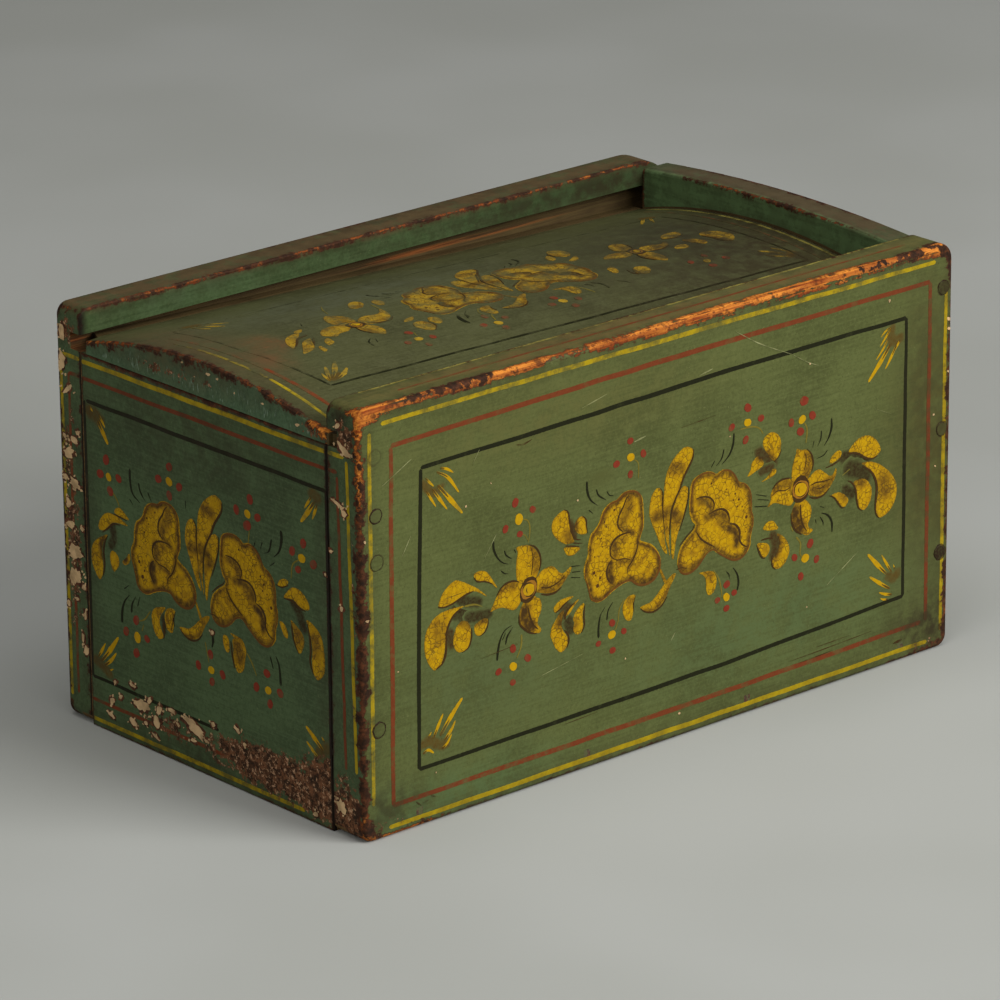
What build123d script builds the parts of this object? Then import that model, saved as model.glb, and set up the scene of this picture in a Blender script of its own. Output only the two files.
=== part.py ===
from build123d import *
from math import atan2, cos, degrees, sin
import os

# A painted wooden box with a domed lid that slides out over its low end board.
# Millimetres. X runs along the box, Y from front to back and Z up.
# The origin is the middle of the underside. The lid leaves towards -X.

# The case
box_length = 337.0
box_depth = 198.0
side_height = 186.5
front_thick = 20.0
back_thick = 17.0
low_end_thick = 16.0
tall_end_thick = 16.0
tall_end_shoulder_drop = 3.5
tall_end_crown = 3.8
bottom_thick = 12.0

# The slot that holds the lid, seen from the side. Its lip is level, and its floor
# falls from the mouth to the tall end, so that the lid lies a little downhill.
slot_lip_drop = 11.0
slot_mouth = 7.5
slot_fall = 8.4
slot_depth = 7.0
slot_overrun = 6.0

# The lid
lid_edge_thick = 4.5
lid_crown = 10.9
lid_running_gap = 0.3
lid_side_gap = 0.6
lid_end_gap = 0.5
broken_tongue_back = 13.0
broken_tongue_front = 4.0

# Worn corners of the long boards, and the rounding of every arris
corner_worn = 5.5
corner_worn_front_top = 7.5
corner_worn_back_top = 17.0
arris_outer = 2.4
arris_inner = 0.6
arris_end_top = 1.4
arris_lid = 0.8

# Pegs through the long boards into the end boards, three to each corner
peg_diameter = 6.5
peg_bite = 14.0
peg_proud = 0.3
peg_fit = 0.05
peg_head_bevel = 0.3
low_peg_inset = 8.5
low_peg_foot = 48.6
low_peg_pair_gap = 20.0
low_peg_top_drop = 27.5
tall_peg_inset = 6.0
tall_peg_foot = 45.0
tall_peg_top_drop = 19.5
tall_peg_middle_share = 0.47

# Cut nails through the long boards into the bottom board
nail_head_width = 3.4
nail_head_thick = 0.8
nail_shank_width = 2.0
nail_bite = 13.0
nail_fit = 0.05
nail_count = 4
nail_end_inset = 29.5
nail_height = 7.0

# Places that follow from the sizes above
left_x = -box_length / 2
right_x = box_length / 2
front_y = -box_depth / 2
back_y = box_depth / 2
front_inner_y = front_y + front_thick
back_inner_y = back_y - back_thick
middle_y = (front_inner_y + back_inner_y) / 2
low_inner_x = left_x + low_end_thick
tall_inner_x = right_x - tall_end_thick
slot_lip_z = side_height - slot_lip_drop
slot_floor_z = slot_lip_z - slot_mouth
slot_end_x = tall_inner_x + slot_overrun
tall_end_shoulder = side_height - tall_end_shoulder_drop
slot_slope = slot_fall / (tall_inner_x - left_x)
slot_angle = atan2(slot_fall, tall_inner_x - left_x)
tongue_reach = slot_depth - lid_side_gap
front_tongue_y = front_inner_y - tongue_reach
back_tongue_y = back_inner_y + tongue_reach
lid_length = tall_inner_x - lid_end_gap - left_x
nail_pitch = (box_length - 2 * nail_end_inset) / (nail_count - 1)


def slot_floor_at(x):
    """Height of the slot's floor at a place along the box."""
    return slot_floor_z - slot_slope * (x - left_x)


def low_peg_places():
    """Peg axes in the low end board, as (x, z): one near its foot and a pair near its top."""
    top = slot_floor_z - low_peg_top_drop
    return [(left_x + low_peg_inset, z) for z in (low_peg_foot, top - low_peg_pair_gap, top)]


def tall_peg_places():
    """Peg axes in the tall end board, as (x, z): foot, middle and top."""
    top = side_height - tall_peg_top_drop
    middle = tall_peg_foot + tall_peg_middle_share * (top - tall_peg_foot)
    return [(right_x - tall_peg_inset, z) for z in (tall_peg_foot, middle, top)]


def nail_places():
    """Nail axes along the bottom board, as (x, z)."""
    return [(left_x + nail_end_inset + nail_pitch * i, nail_height) for i in range(nail_count)]


def across(y):
    """Upright plane along the box at a given depth: its x is X, its y is Z, its normal is -Y."""
    return Plane.XZ.offset(-y)


def side_board(outer_y, inner_y, top_right_round):
    """A long board: worn corners, rounded arrises, the slot, and the peg and nail holes."""
    inward = 1 if inner_y > outer_y else -1
    thick = abs(inner_y - outer_y)
    slot_back_y = inner_y - inward * slot_depth
    with BuildPart() as board:
        with BuildSketch(across(outer_y)) as outline:
            with Locations((0, side_height / 2)):
                Rectangle(box_length, side_height)
            top_right = outline.vertices().sort_by_distance((right_x, side_height))[0]
            fillet(top_right, top_right_round)
            others = [(left_x, side_height), (left_x, 0), (right_x, 0)]
            fillet([outline.vertices().sort_by_distance(place)[0] for place in others], corner_worn)
        extrude(amount=-inward * thick)
        faces_by_depth = board.faces().filter_by(Axis.Y).sort_by(Axis.Y)
        outer_face = faces_by_depth[0] if inward > 0 else faces_by_depth[-1]
        fillet(outer_face.edges(), arris_outer)
        faces_by_depth = board.faces().filter_by(Axis.Y).sort_by(Axis.Y)
        inner_face = faces_by_depth[-1] if inward > 0 else faces_by_depth[0]
        chamfer(inner_face.edges(), arris_inner)
        with BuildSketch(across(slot_back_y)):
            with BuildLine():
                Polyline(
                    (left_x - 1, slot_lip_z),
                    (left_x - 1, slot_floor_at(left_x - 1)),
                    (slot_end_x, slot_floor_at(slot_end_x)),
                    (slot_end_x, slot_lip_z),
                    close=True,
                )
            make_face()
        extrude(amount=-inward * slot_depth, mode=Mode.SUBTRACT)
        with BuildSketch(across(outer_y)):
            with Locations(low_peg_places() + tall_peg_places()):
                Circle(peg_diameter / 2 + peg_fit)
            with Locations(nail_places()):
                Rectangle(nail_shank_width + 2 * nail_fit, nail_shank_width + 2 * nail_fit)
        extrude(amount=-inward * thick, mode=Mode.SUBTRACT)
        with BuildSketch(across(outer_y)):
            with Locations(nail_places()):
                Rectangle(nail_head_width + 2 * nail_fit, nail_head_width + 2 * nail_fit)
        extrude(amount=-inward * nail_head_thick, mode=Mode.SUBTRACT)
    return board.part


def peg_sockets(places):
    """Blind round holes for pegs, into both edges of an end board."""
    with BuildPart() as sockets:
        for edge_y, inward in ((front_inner_y, 1), (back_inner_y, -1)):
            with BuildSketch(across(edge_y)):
                with Locations(places):
                    Circle(peg_diameter / 2 + peg_fit)
            extrude(amount=-inward * (peg_bite + peg_fit))
    return sockets.part


def nail_sockets():
    """Blind square holes for the nails, into both long edges of the bottom board."""
    with BuildPart() as sockets:
        for edge_y, inward in ((front_inner_y, 1), (back_inner_y, -1)):
            with BuildSketch(across(edge_y)):
                with Locations(nail_places()):
                    Rectangle(nail_shank_width + 2 * nail_fit, nail_shank_width + 2 * nail_fit)
            extrude(amount=-inward * (nail_bite + nail_fit))
    return sockets.part


def low_end_board():
    """The end board that the lid passes over: its top edge carries on the slot's floor."""
    sockets = peg_sockets(low_peg_places())
    with BuildPart() as board:
        with BuildSketch(across(front_inner_y)):
            with BuildLine():
                Polyline(
                    (left_x, 0),
                    (low_inner_x, 0),
                    (low_inner_x, slot_floor_at(low_inner_x)),
                    (left_x, slot_floor_at(left_x)),
                    close=True,
                )
            make_face()
        extrude(amount=-(back_inner_y - front_inner_y))
        outer_face = board.faces().filter_by(Axis.X).sort_by(Axis.X)[0]
        chamfer(outer_face.edges(), arris_inner)
        add(sockets, mode=Mode.SUBTRACT)
    return board.part


def tall_end_board():
    """The fixed end board, with an arched top that echoes the lid's dome."""
    sockets = peg_sockets(tall_peg_places())
    with BuildPart() as board:
        with BuildSketch(Plane.YZ.offset(tall_inner_x)):
            with BuildLine():
                Polyline(
                    (front_inner_y, tall_end_shoulder),
                    (front_inner_y, 0),
                    (back_inner_y, 0),
                    (back_inner_y, tall_end_shoulder),
                )
                ThreePointArc(
                    (back_inner_y, tall_end_shoulder),
                    (middle_y, tall_end_shoulder + tall_end_crown),
                    (front_inner_y, tall_end_shoulder),
                )
            make_face()
        extrude(amount=tall_end_thick)
        arched_edges = board.edges().filter_by(GeomType.CIRCLE)
        fillet(arched_edges, arris_end_top)
        add(sockets, mode=Mode.SUBTRACT)
    return board.part


def bottom_board():
    """The bottom, let in between the four walls and flush with their lower edges."""
    sockets = nail_sockets()
    with BuildPart() as board:
        with BuildSketch():
            with Locations(((low_inner_x + tall_inner_x) / 2, middle_y)):
                Rectangle(tall_inner_x - low_inner_x, back_inner_y - front_inner_y)
        extrude(amount=bottom_thick)
        add(sockets, mode=Mode.SUBTRACT)
    return board.part


def sliding_lid():
    """The domed lid: one section, run downhill along the slot, with its tongues in the slots."""
    under_z = slot_floor_at(left_x) + lid_running_gap
    tongue_z = under_z + lid_edge_thick
    cut_height = 4 * lid_edge_thick
    with BuildPart() as lid:
        with BuildSketch(Plane.YZ.offset(left_x)):
            with BuildLine():
                Polyline(
                    (front_inner_y, tongue_z),
                    (front_tongue_y, tongue_z),
                    (front_tongue_y, under_z),
                    (back_tongue_y, under_z),
                    (back_tongue_y, tongue_z),
                    (back_inner_y, tongue_z),
                )
                ThreePointArc(
                    (back_inner_y, tongue_z),
                    (middle_y, tongue_z + lid_crown),
                    (front_inner_y, tongue_z),
                )
            make_face()
        downhill = (cos(slot_angle), 0, -sin(slot_angle))
        extrude(amount=lid_length / cos(slot_angle), dir=downhill)
        arched_edges = lid.edges().filter_by(GeomType.CIRCLE)
        chamfer(arched_edges, arris_lid)
        with BuildSketch(Plane.XY.offset(under_z - lid_edge_thick)):
            with BuildLine():
                Polyline(
                    (left_x - 1, back_inner_y - broken_tongue_back / 3),
                    (left_x + broken_tongue_back / 4, back_inner_y - broken_tongue_back / 4),
                    (left_x + broken_tongue_back * 0.7, back_inner_y - lid_side_gap),
                    (left_x + broken_tongue_back, back_tongue_y + 1),
                    (left_x - 1, back_tongue_y + 1),
                    close=True,
                )
            make_face()
            with BuildLine():
                Polyline(
                    (left_x - 1, front_inner_y - broken_tongue_front / 2),
                    (left_x + broken_tongue_front / 2, front_inner_y - broken_tongue_front / 2),
                    (left_x + broken_tongue_front, front_tongue_y - 1),
                    (left_x - 1, front_tongue_y - 1),
                    close=True,
                )
            make_face()
        extrude(amount=cut_height, mode=Mode.SUBTRACT)
    return lid.part


def peg_group(places, outer_y, inner_y):
    """Round pegs from just proud of a long board's face into an end board."""
    inward = 1 if inner_y > outer_y else -1
    length = peg_proud + abs(inner_y - outer_y) + peg_bite
    with BuildPart() as pegs:
        with BuildSketch(across(outer_y - inward * peg_proud)):
            with Locations(places):
                Circle(peg_diameter / 2)
        extrude(amount=-inward * length)
        rims = pegs.edges().filter_by(GeomType.CIRCLE).sort_by(Axis.Y)
        outer_rims = rims[: len(places)] if inward > 0 else rims[-len(places):]
        chamfer(outer_rims, peg_head_bevel)
    return pegs.part


def nail_group(outer_y, inner_y):
    """Square cut nails from a long board's face into the bottom board."""
    inward = 1 if inner_y > outer_y else -1
    length = abs(inner_y - outer_y) + nail_bite
    with BuildPart() as nails:
        with BuildSketch(across(outer_y)):
            with Locations(nail_places()):
                Rectangle(nail_head_width, nail_head_width)
        extrude(amount=-inward * nail_head_thick)
        with BuildSketch(across(outer_y)):
            with Locations(nail_places()):
                Rectangle(nail_shank_width, nail_shank_width)
        extrude(amount=-inward * length)
    return nails.part


pieces = {
    "front_board": side_board(front_y, front_inner_y, corner_worn_front_top),
    "back_board": side_board(back_y, back_inner_y, corner_worn_back_top),
    "low_end_board": low_end_board(),
    "tall_end_board": tall_end_board(),
    "bottom_board": bottom_board(),
    "sliding_lid": sliding_lid(),
    "front_low_end_pegs": peg_group(low_peg_places(), front_y, front_inner_y),
    "front_tall_end_pegs": peg_group(tall_peg_places(), front_y, front_inner_y),
    "back_low_end_pegs": peg_group(low_peg_places(), back_y, back_inner_y),
    "back_tall_end_pegs": peg_group(tall_peg_places(), back_y, back_inner_y),
    "front_bottom_nails": nail_group(front_y, front_inner_y),
    "back_bottom_nails": nail_group(back_y, back_inner_y),
}

os.makedirs("parts", exist_ok=True)
for name, solid in pieces.items():
    solid.label = name
    export_step(solid, f"parts/{name}.step")

print(f"the lid runs {degrees(slot_angle):.2f} degrees downhill over {lid_length:.1f} mm")
print("slide axis", round(-cos(slot_angle), 6), 0, round(sin(slot_angle), 6))
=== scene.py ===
"""Looks of the painted slide-lid box: paint and bare wood, the ornament, wear, floor, lamps and camera.

Sizes are in millimetres and are turned into metres where a mesh is made. The frame is the frame of the
solids: +X towards the tall end, +Y towards the back, +Z up, with the origin under the middle of the box.
"""

import math
import random

import bpy
import numpy as np
from mathutils import Matrix, Vector
from mathutils.geometry import delaunay_2d_cdt


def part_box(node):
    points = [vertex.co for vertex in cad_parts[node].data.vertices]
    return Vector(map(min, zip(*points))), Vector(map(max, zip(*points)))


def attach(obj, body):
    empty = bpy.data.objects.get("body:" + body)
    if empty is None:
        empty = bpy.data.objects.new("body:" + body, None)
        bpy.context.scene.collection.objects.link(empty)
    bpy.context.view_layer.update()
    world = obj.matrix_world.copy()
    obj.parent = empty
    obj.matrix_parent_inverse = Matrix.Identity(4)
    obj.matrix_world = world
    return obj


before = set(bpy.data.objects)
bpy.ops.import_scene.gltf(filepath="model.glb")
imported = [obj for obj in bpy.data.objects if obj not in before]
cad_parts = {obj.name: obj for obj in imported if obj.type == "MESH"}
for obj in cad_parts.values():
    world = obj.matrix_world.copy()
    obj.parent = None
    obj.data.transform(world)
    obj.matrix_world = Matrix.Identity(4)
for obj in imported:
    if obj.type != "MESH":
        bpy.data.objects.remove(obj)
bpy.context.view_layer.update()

MM = 0.001
dice = random.Random(1830)

# Where the solids are, in millimetres
front_low, front_high = (corner * 1000 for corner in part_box("front_board"))
back_low, back_high = (corner * 1000 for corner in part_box("back_board"))
low_end_low, low_end_high = (corner * 1000 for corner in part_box("low_end_board"))
tall_end_low, tall_end_high = (corner * 1000 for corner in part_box("tall_end_board"))
LEFT, RIGHT = front_low.x, front_high.x
FRONT, BACK = front_low.y, back_high.y
TOP = front_high.z
INNER_FRONT, INNER_BACK = front_high.y, back_low.y
LENGTH, DEPTH = RIGHT - LEFT, BACK - FRONT
SEAM_FRONT = BACK - INNER_FRONT
SEAM_BACK = BACK - INNER_BACK
# The radius of the rounded outer arrises
ARRIS = 2.4

# The lid's domed top, as in the solids
LID_RADIUS = 302.7
LID_MIDDLE = 1.5
LID_CREST = 183.7
LID_FALL = 0.026168
LID_END = 152.0
LID_UNDERSIDE = 168.8
SLOT_LIP = 175.5
# Half the width between the inner faces, and where the slots' floors are, from the middle of the lid
HALF_INSIDE = 80.5
SLOT_FLOOR = 88.0
PEG_RADIUS = 3.3


def lid_height(x, y):
    """Height of the lid's top above the ground."""
    crest = LID_CREST - LID_FALL * (x - LEFT)
    return crest - LID_RADIUS + math.sqrt(LID_RADIUS ** 2 - (y - LID_MIDDLE) ** 2)


def linear(red, green, blue):
    """A colour given as 0 to 255 on the screen, as the shader wants it."""
    def one(value):
        share = value / 255
        if share <= 0.04045:
            return share / 12.92
        return ((share + 0.055) / 1.055) ** 2.4
    return (one(red), one(green), one(blue), 1.0)


# How far the drawn outline of a blossom lies inside its edge, and how deep the plates of paint reach down
OUTLINE_INSET = 1.1
PLATE_FOOT = -0.05

# Colours of the ornament
YELLOW = linear(179, 138, 0)
OLD_YELLOW = linear(166, 141, 14)
LID_YELLOW = linear(158, 126, 30)
RED = linear(122, 45, 26)
LINE_RED = linear(110, 52, 24)
BLACK = linear(27, 28, 8)
UMBER = linear(62, 42, 14)
ROOT = linear(84, 62, 18)
SIENNA = linear(96, 60, 18)
DAB = linear(76, 46, 14)
OLIVE = linear(112, 100, 34)
SMUDGE = linear(48, 35, 11)
CREAM = linear(212, 178, 132)
PALE_LINE = linear(138, 128, 60)
SCRATCH = linear(150, 150, 104)
SCRAPE = linear(128, 146, 124)


class Shader:
    """Builds one material, node by node. Places are in millimetres."""

    def __init__(self, name):
        self.material = bpy.data.materials.new(name)
        self.material.use_nodes = True
        self.nodes = self.material.node_tree.nodes
        self.links = self.material.node_tree.links
        self.nodes.clear()

    def put(self, socket, value):
        if isinstance(value, bpy.types.NodeSocket):
            self.links.new(value, socket)
        else:
            socket.default_value = value

    def math(self, operation, *values, clamp=False):
        node = self.nodes.new("ShaderNodeMath")
        node.operation = operation
        node.use_clamp = clamp
        for socket, value in zip(node.inputs, values):
            self.put(socket, value)
        return node.outputs[0]

    def vector(self, operation, *values):
        node = self.nodes.new("ShaderNodeVectorMath")
        node.operation = operation
        for socket, value in zip(node.inputs, values):
            self.put(socket, value)
        return node.outputs["Value" if operation in ("LENGTH", "DISTANCE") else "Vector"]

    def place(self):
        """The point on the piece, in millimetres. It goes with the piece when the lid slides."""
        node = self.nodes.new("ShaderNodeTexCoord")
        return self.vector("MULTIPLY", node.outputs["Object"], (1000, 1000, 1000))

    def parts(self, place):
        node = self.nodes.new("ShaderNodeSeparateXYZ")
        self.put(node.inputs[0], place)
        return node.outputs

    def attribute(self, name, output="Fac"):
        node = self.nodes.new("ShaderNodeAttribute")
        node.attribute_name = name
        return node.outputs[output]

    def noise(self, place, size, detail=2.0, rough=0.5, twist=0.0, colour=False):
        """Noise with features of about this size: a number, or three for stretched features."""
        sizes = size if isinstance(size, tuple) else (size, size, size)
        node = self.nodes.new("ShaderNodeTexNoise")
        self.put(node.inputs["Vector"], self.vector("MULTIPLY", place, tuple(1 / s for s in sizes)))
        node.inputs["Scale"].default_value = 1.0
        node.inputs["Detail"].default_value = detail
        node.inputs["Roughness"].default_value = rough
        node.inputs["Distortion"].default_value = twist
        return node.outputs["Color" if colour else "Fac"]

    def cells(self, place, size):
        """Distance to the nearest wall between cells of about this size."""
        node = self.nodes.new("ShaderNodeTexVoronoi")
        node.feature = "DISTANCE_TO_EDGE"
        self.put(node.inputs["Vector"], self.vector("MULTIPLY", place, (1 / size, 1 / size, 1 / size)))
        node.inputs["Scale"].default_value = 1.0
        return node.outputs["Distance"]

    def spread(self, value, low, high, start=0.0, end=1.0, smooth=True):
        """Takes low to start and high to end, and stays at those beyond."""
        node = self.nodes.new("ShaderNodeMapRange")
        node.interpolation_type = "SMOOTHSTEP" if smooth else "LINEAR"
        self.put(node.inputs["Value"], value)
        for socket, number in zip(("From Min", "From Max", "To Min", "To Max"), (low, high, start, end)):
            self.put(node.inputs[socket], number)
        return node.outputs["Result"]

    def mix(self, share, first, second, kind="MIX"):
        node = self.nodes.new("ShaderNodeMix")
        node.data_type = "RGBA"
        node.blend_type = kind
        node.clamp_factor = True
        self.put(node.inputs[0], share)
        self.put(node.inputs[6], first)
        self.put(node.inputs[7], second)
        return node.outputs[2]

    def chain(self, operation, values):
        result = values[0]
        for value in values[1:]:
            result = self.math(operation, result, value)
        return result

    def times(self, *values):
        return self.chain("MULTIPLY", values)

    def most(self, *values):
        return self.chain("MAXIMUM", values)

    def plus(self, *values):
        return self.chain("ADD", values)

    def minus(self, first, second):
        return self.math("SUBTRACT", first, second)

    def blob(self, place, centre, radii, strength=1.0):
        """Falls from the strength at the centre to nothing at an egg-shaped rim."""
        away = self.vector("SUBTRACT", place, centre)
        away = self.vector("DIVIDE", away, radii)
        return self.spread(self.vector("LENGTH", away), 1.0, 0.0, 0.0, strength)

    def blobs(self, place, spots, floor=0.0):
        """The strongest of several blobs at each point, and never less than the floor."""
        for centre, radii, strength in spots:
            floor = self.most(floor, self.blob(place, centre, radii, strength))
        return floor

    def bump(self, height, strength, depth, normal=None):
        node = self.nodes.new("ShaderNodeBump")
        node.inputs["Strength"].default_value = strength
        node.inputs["Distance"].default_value = depth * MM
        self.put(node.inputs["Height"], height)
        if normal is not None:
            self.put(node.inputs["Normal"], normal)
        return node.outputs["Normal"]

    def finish(self, colour, roughness, normal=None, specular=0.4):
        shader = self.nodes.new("ShaderNodeBsdfPrincipled")
        self.put(shader.inputs["Base Color"], colour)
        self.put(shader.inputs["Roughness"], roughness)
        shader.inputs["Specular IOR Level"].default_value = specular
        if normal is not None:
            self.put(shader.inputs["Normal"], normal)
        output = self.nodes.new("ShaderNodeOutputMaterial")
        self.links.new(shader.outputs[0], output.inputs[0])
        return self.material


def stretched(across, length, along):
    """The size of features that are drawn out along one axis."""
    sizes = [across] * 3
    sizes[along] = length
    return tuple(sizes)


def timber(shader, place, along, pale, dark):
    """Bare old wood, with its grain along one axis, a few darker growth lines, and stains.

    Returns its colour and its height.
    """
    grain = shader.noise(place, stretched(1.2, 60.0, along), 3.0, 0.6)
    fibre = shader.noise(place, stretched(0.35, 14.0, along), 2.0, 0.6)
    figure = shader.noise(place, stretched(5.0, 90.0, along), 2.0, 0.5, 0.6)
    tint = shader.noise(place, 28.0, 3.0, 0.6)
    share = shader.plus(
        shader.spread(grain, 0.38, 0.66, 0.0, 0.45),
        shader.spread(fibre, 0.40, 0.66, 0.0, 0.25),
        shader.spread(figure, 0.42, 0.62, 0.0, 0.25),
        shader.spread(tint, 0.45, 0.68, 0.0, 0.4),
    )
    height = shader.plus(shader.times(grain, 0.6), shader.times(fibre, 0.4))
    return shader.mix(share, pale, dark), height


def arris_distance(shader, place, low, high):
    """Distance to the nearest arris of a board, over its surface."""
    away = []
    for value, first, last in zip(shader.parts(place), low, high):
        nearest = shader.math("MINIMUM", shader.minus(value, first), shader.minus(last, value))
        away.append(shader.math("ABSOLUTE", nearest))
    nearer = shader.math("MINIMUM", away[0], away[1])
    farther = shader.math("MAXIMUM", away[0], away[1])
    return shader.math("MAXIMUM", nearer, shader.math("MINIMUM", farther, away[2]))


def lid_arris(s, place):
    """Distance to the arrises where the lid's domed top meets its two ends."""
    x, y, z = s.parts(place)
    aside = s.minus(y, LID_MIDDLE)
    rise = s.math("SQRT", s.minus(LID_RADIUS ** 2, s.times(aside, aside)))
    along = s.minus(x, LEFT)
    dome = s.minus(s.plus(rise, LID_CREST - LID_RADIUS), s.times(along, LID_FALL))
    below = s.math("ABSOLUTE", s.minus(dome, z))
    from_end = s.math("MINIMUM", s.math("ABSOLUTE", along), s.math("ABSOLUTE", s.minus(LID_END, x)))
    return s.math("MAXIMUM", from_end, below)


def plain_paint(s, place, tones, along, patches, ends):
    """The board's own paint with its brush marks. Returns its colour, then the noises that others use."""
    brush = s.noise(place, stretched(1.1, 26.0, along), 3.0, 0.6)
    cloud = s.noise(place, 36.0, 3.0, 0.55)
    patch = s.noise(place, 9.0, 3.0, 0.6)
    speck = s.noise(place, 0.7, 2.0, 0.6)
    middle, dark, light = tones
    if ends is not None:
        end_tones, end_x = ends
        near_end = s.math("LESS_THAN", s.math("ABSOLUTE", s.minus(s.parts(place)[0], end_x)), 1.0)
        middle, dark, light = (s.mix(near_end, own, end) for own, end in zip(tones, end_tones))
    paint = s.mix(s.spread(cloud, 0.38, 0.66), middle, dark)
    paint = s.mix(s.spread(patch, 0.45, 0.72, 0.0, 0.55), paint, light)
    paint = s.mix(s.spread(brush, 0.42, 0.68, 0.0, 0.38), paint, light)
    paint = s.mix(s.spread(brush, 0.50, 0.30, 0.0, 0.46), paint, dark)
    fleck = s.noise(place, 1.6, 3.0, 0.7)
    paint = s.mix(s.spread(fleck, 0.44, 0.68, 0.0, 0.40), paint, light)
    paint = s.mix(s.spread(fleck, 0.50, 0.32, 0.0, 0.46), paint, dark)
    paint = s.mix(s.spread(speck, 0.66, 0.74, 0.0, 0.55), paint, BLACK)
    paint = s.mix(s.spread(speck, 0.34, 0.27, 0.0, 0.30), paint, linear(140, 138, 92))
    mingled = s.plus(s.times(patch, 0.5), s.times(brush, 0.25), s.times(fleck, 0.25))
    # Faint tints: stains, and in some places painted light, shade and sheen
    for centre, radii, strength, tint in patches:
        share = s.blob(place, centre, radii, strength)
        share = s.math("MULTIPLY", share, s.spread(mingled, 0.42, 0.58, 0.40, 1.15), clamp=True)
        paint = s.mix(share, paint, tint)
    return paint, brush, patch, fleck


def brush_strokes(s, place, fleck, hold):
    """The ornament's ink under its umber glaze, with its cracks. Returns its colour and its cover."""
    cover = s.attribute("cover")
    crazed = s.attribute("crazed")
    mottle = s.noise(place, 2.6, 3.0, 0.6)
    strayed = s.vector("MULTIPLY", s.noise(place, 3.0, 2.0, 0.6, colour=True), (1.6, 1.6, 1.6))
    crack = s.cells(s.vector("ADD", place, strayed), 2.3)
    crack_width = s.spread(s.noise(place, 5.0, 2.0), 0.35, 0.65, 0.01, 0.085)
    cracked = s.math("LESS_THAN", crack, crack_width)
    thin = s.mix(crazed, (0.97, 0.95, 0.93, 1), (0.87, 0.83, 0.78, 1))
    warm = s.mix(s.spread(mottle, 0.35, 0.65), thin, (1.10, 1.12, 1.15, 1))
    stroke = s.mix(1.0, s.attribute("ink", "Color"), warm, "MULTIPLY")
    mottled = s.spread(mottle, 0.30, 0.70, 1.10, 0.84)
    glazed = s.math("MULTIPLY", s.attribute("glaze"), mottled, clamp=True)
    stroke = s.mix(glazed, stroke, s.mix(glazed, linear(138, 94, 14), linear(66, 46, 14)))
    stroke = s.mix(s.times(cracked, crazed, 0.6), stroke, linear(64, 44, 16))
    scuff = s.noise(place, 7.0, 4.0, 0.66)
    held = s.math("SUBTRACT", s.times(cover, hold), s.spread(scuff, 0.34, 0.68, 0.0, 0.85), clamp=True)
    soft = s.times(cover, s.spread(fleck, 0.34, 0.62, 1.0, 0.72))
    return stroke, s.mix(s.attribute("sheer"), held, soft)


def peg_marks(s, place, colour, pegs, coarse, fleck):
    """Peg ends that show through the paint as a cracked ring and a darker disc."""
    for x, z, inner, outer in pegs:
        from_peg = s.vector("MULTIPLY", s.vector("SUBTRACT", place, (x, 0, z)), (1, 0, 1))
        away = s.plus(s.vector("LENGTH", from_peg), s.spread(coarse, 0.3, 0.7, -0.5, 0.5))
        from_rim = s.math("ABSOLUTE", s.minus(away, PEG_RADIUS))
        ring = s.spread(from_rim, 0.55, 0.15, 0.0, outer)
        ring = s.times(ring, s.spread(fleck, 0.34, 0.56, 0.45, 1.0))
        disc = s.times(s.spread(away, 3.6, 2.6, 0.0, inner), s.spread(fleck, 0.30, 0.60, 0.6, 1.3))
        colour = s.mix(s.most(ring, disc), colour, linear(42, 27, 14))
    return colour


def lost_paint(s, place, colour, losses, grit, coarse):
    """Lost paint, down to a dark ground and in places a pale one. Returns the colour and the loss."""
    lost_field = s.blobs(place, losses)
    lost = s.spread(s.plus(s.times(grit, 0.85), s.times(coarse, 0.85), lost_field), 1.30, 1.37)
    ground = s.mix(s.spread(grit, 0.40, 0.60), linear(50, 33, 21), linear(116, 76, 50))
    ground = s.mix(s.spread(coarse, 0.48, 0.62, 0.0, 0.6), ground, linear(46, 34, 23))
    colour = s.mix(lost, colour, ground)
    pale_lost = s.spread(s.noise(place, 1.9, 4.0, 0.8), 0.56, 0.61)
    return s.mix(s.times(pale_lost, lost), colour, linear(182, 142, 108)), lost


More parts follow.
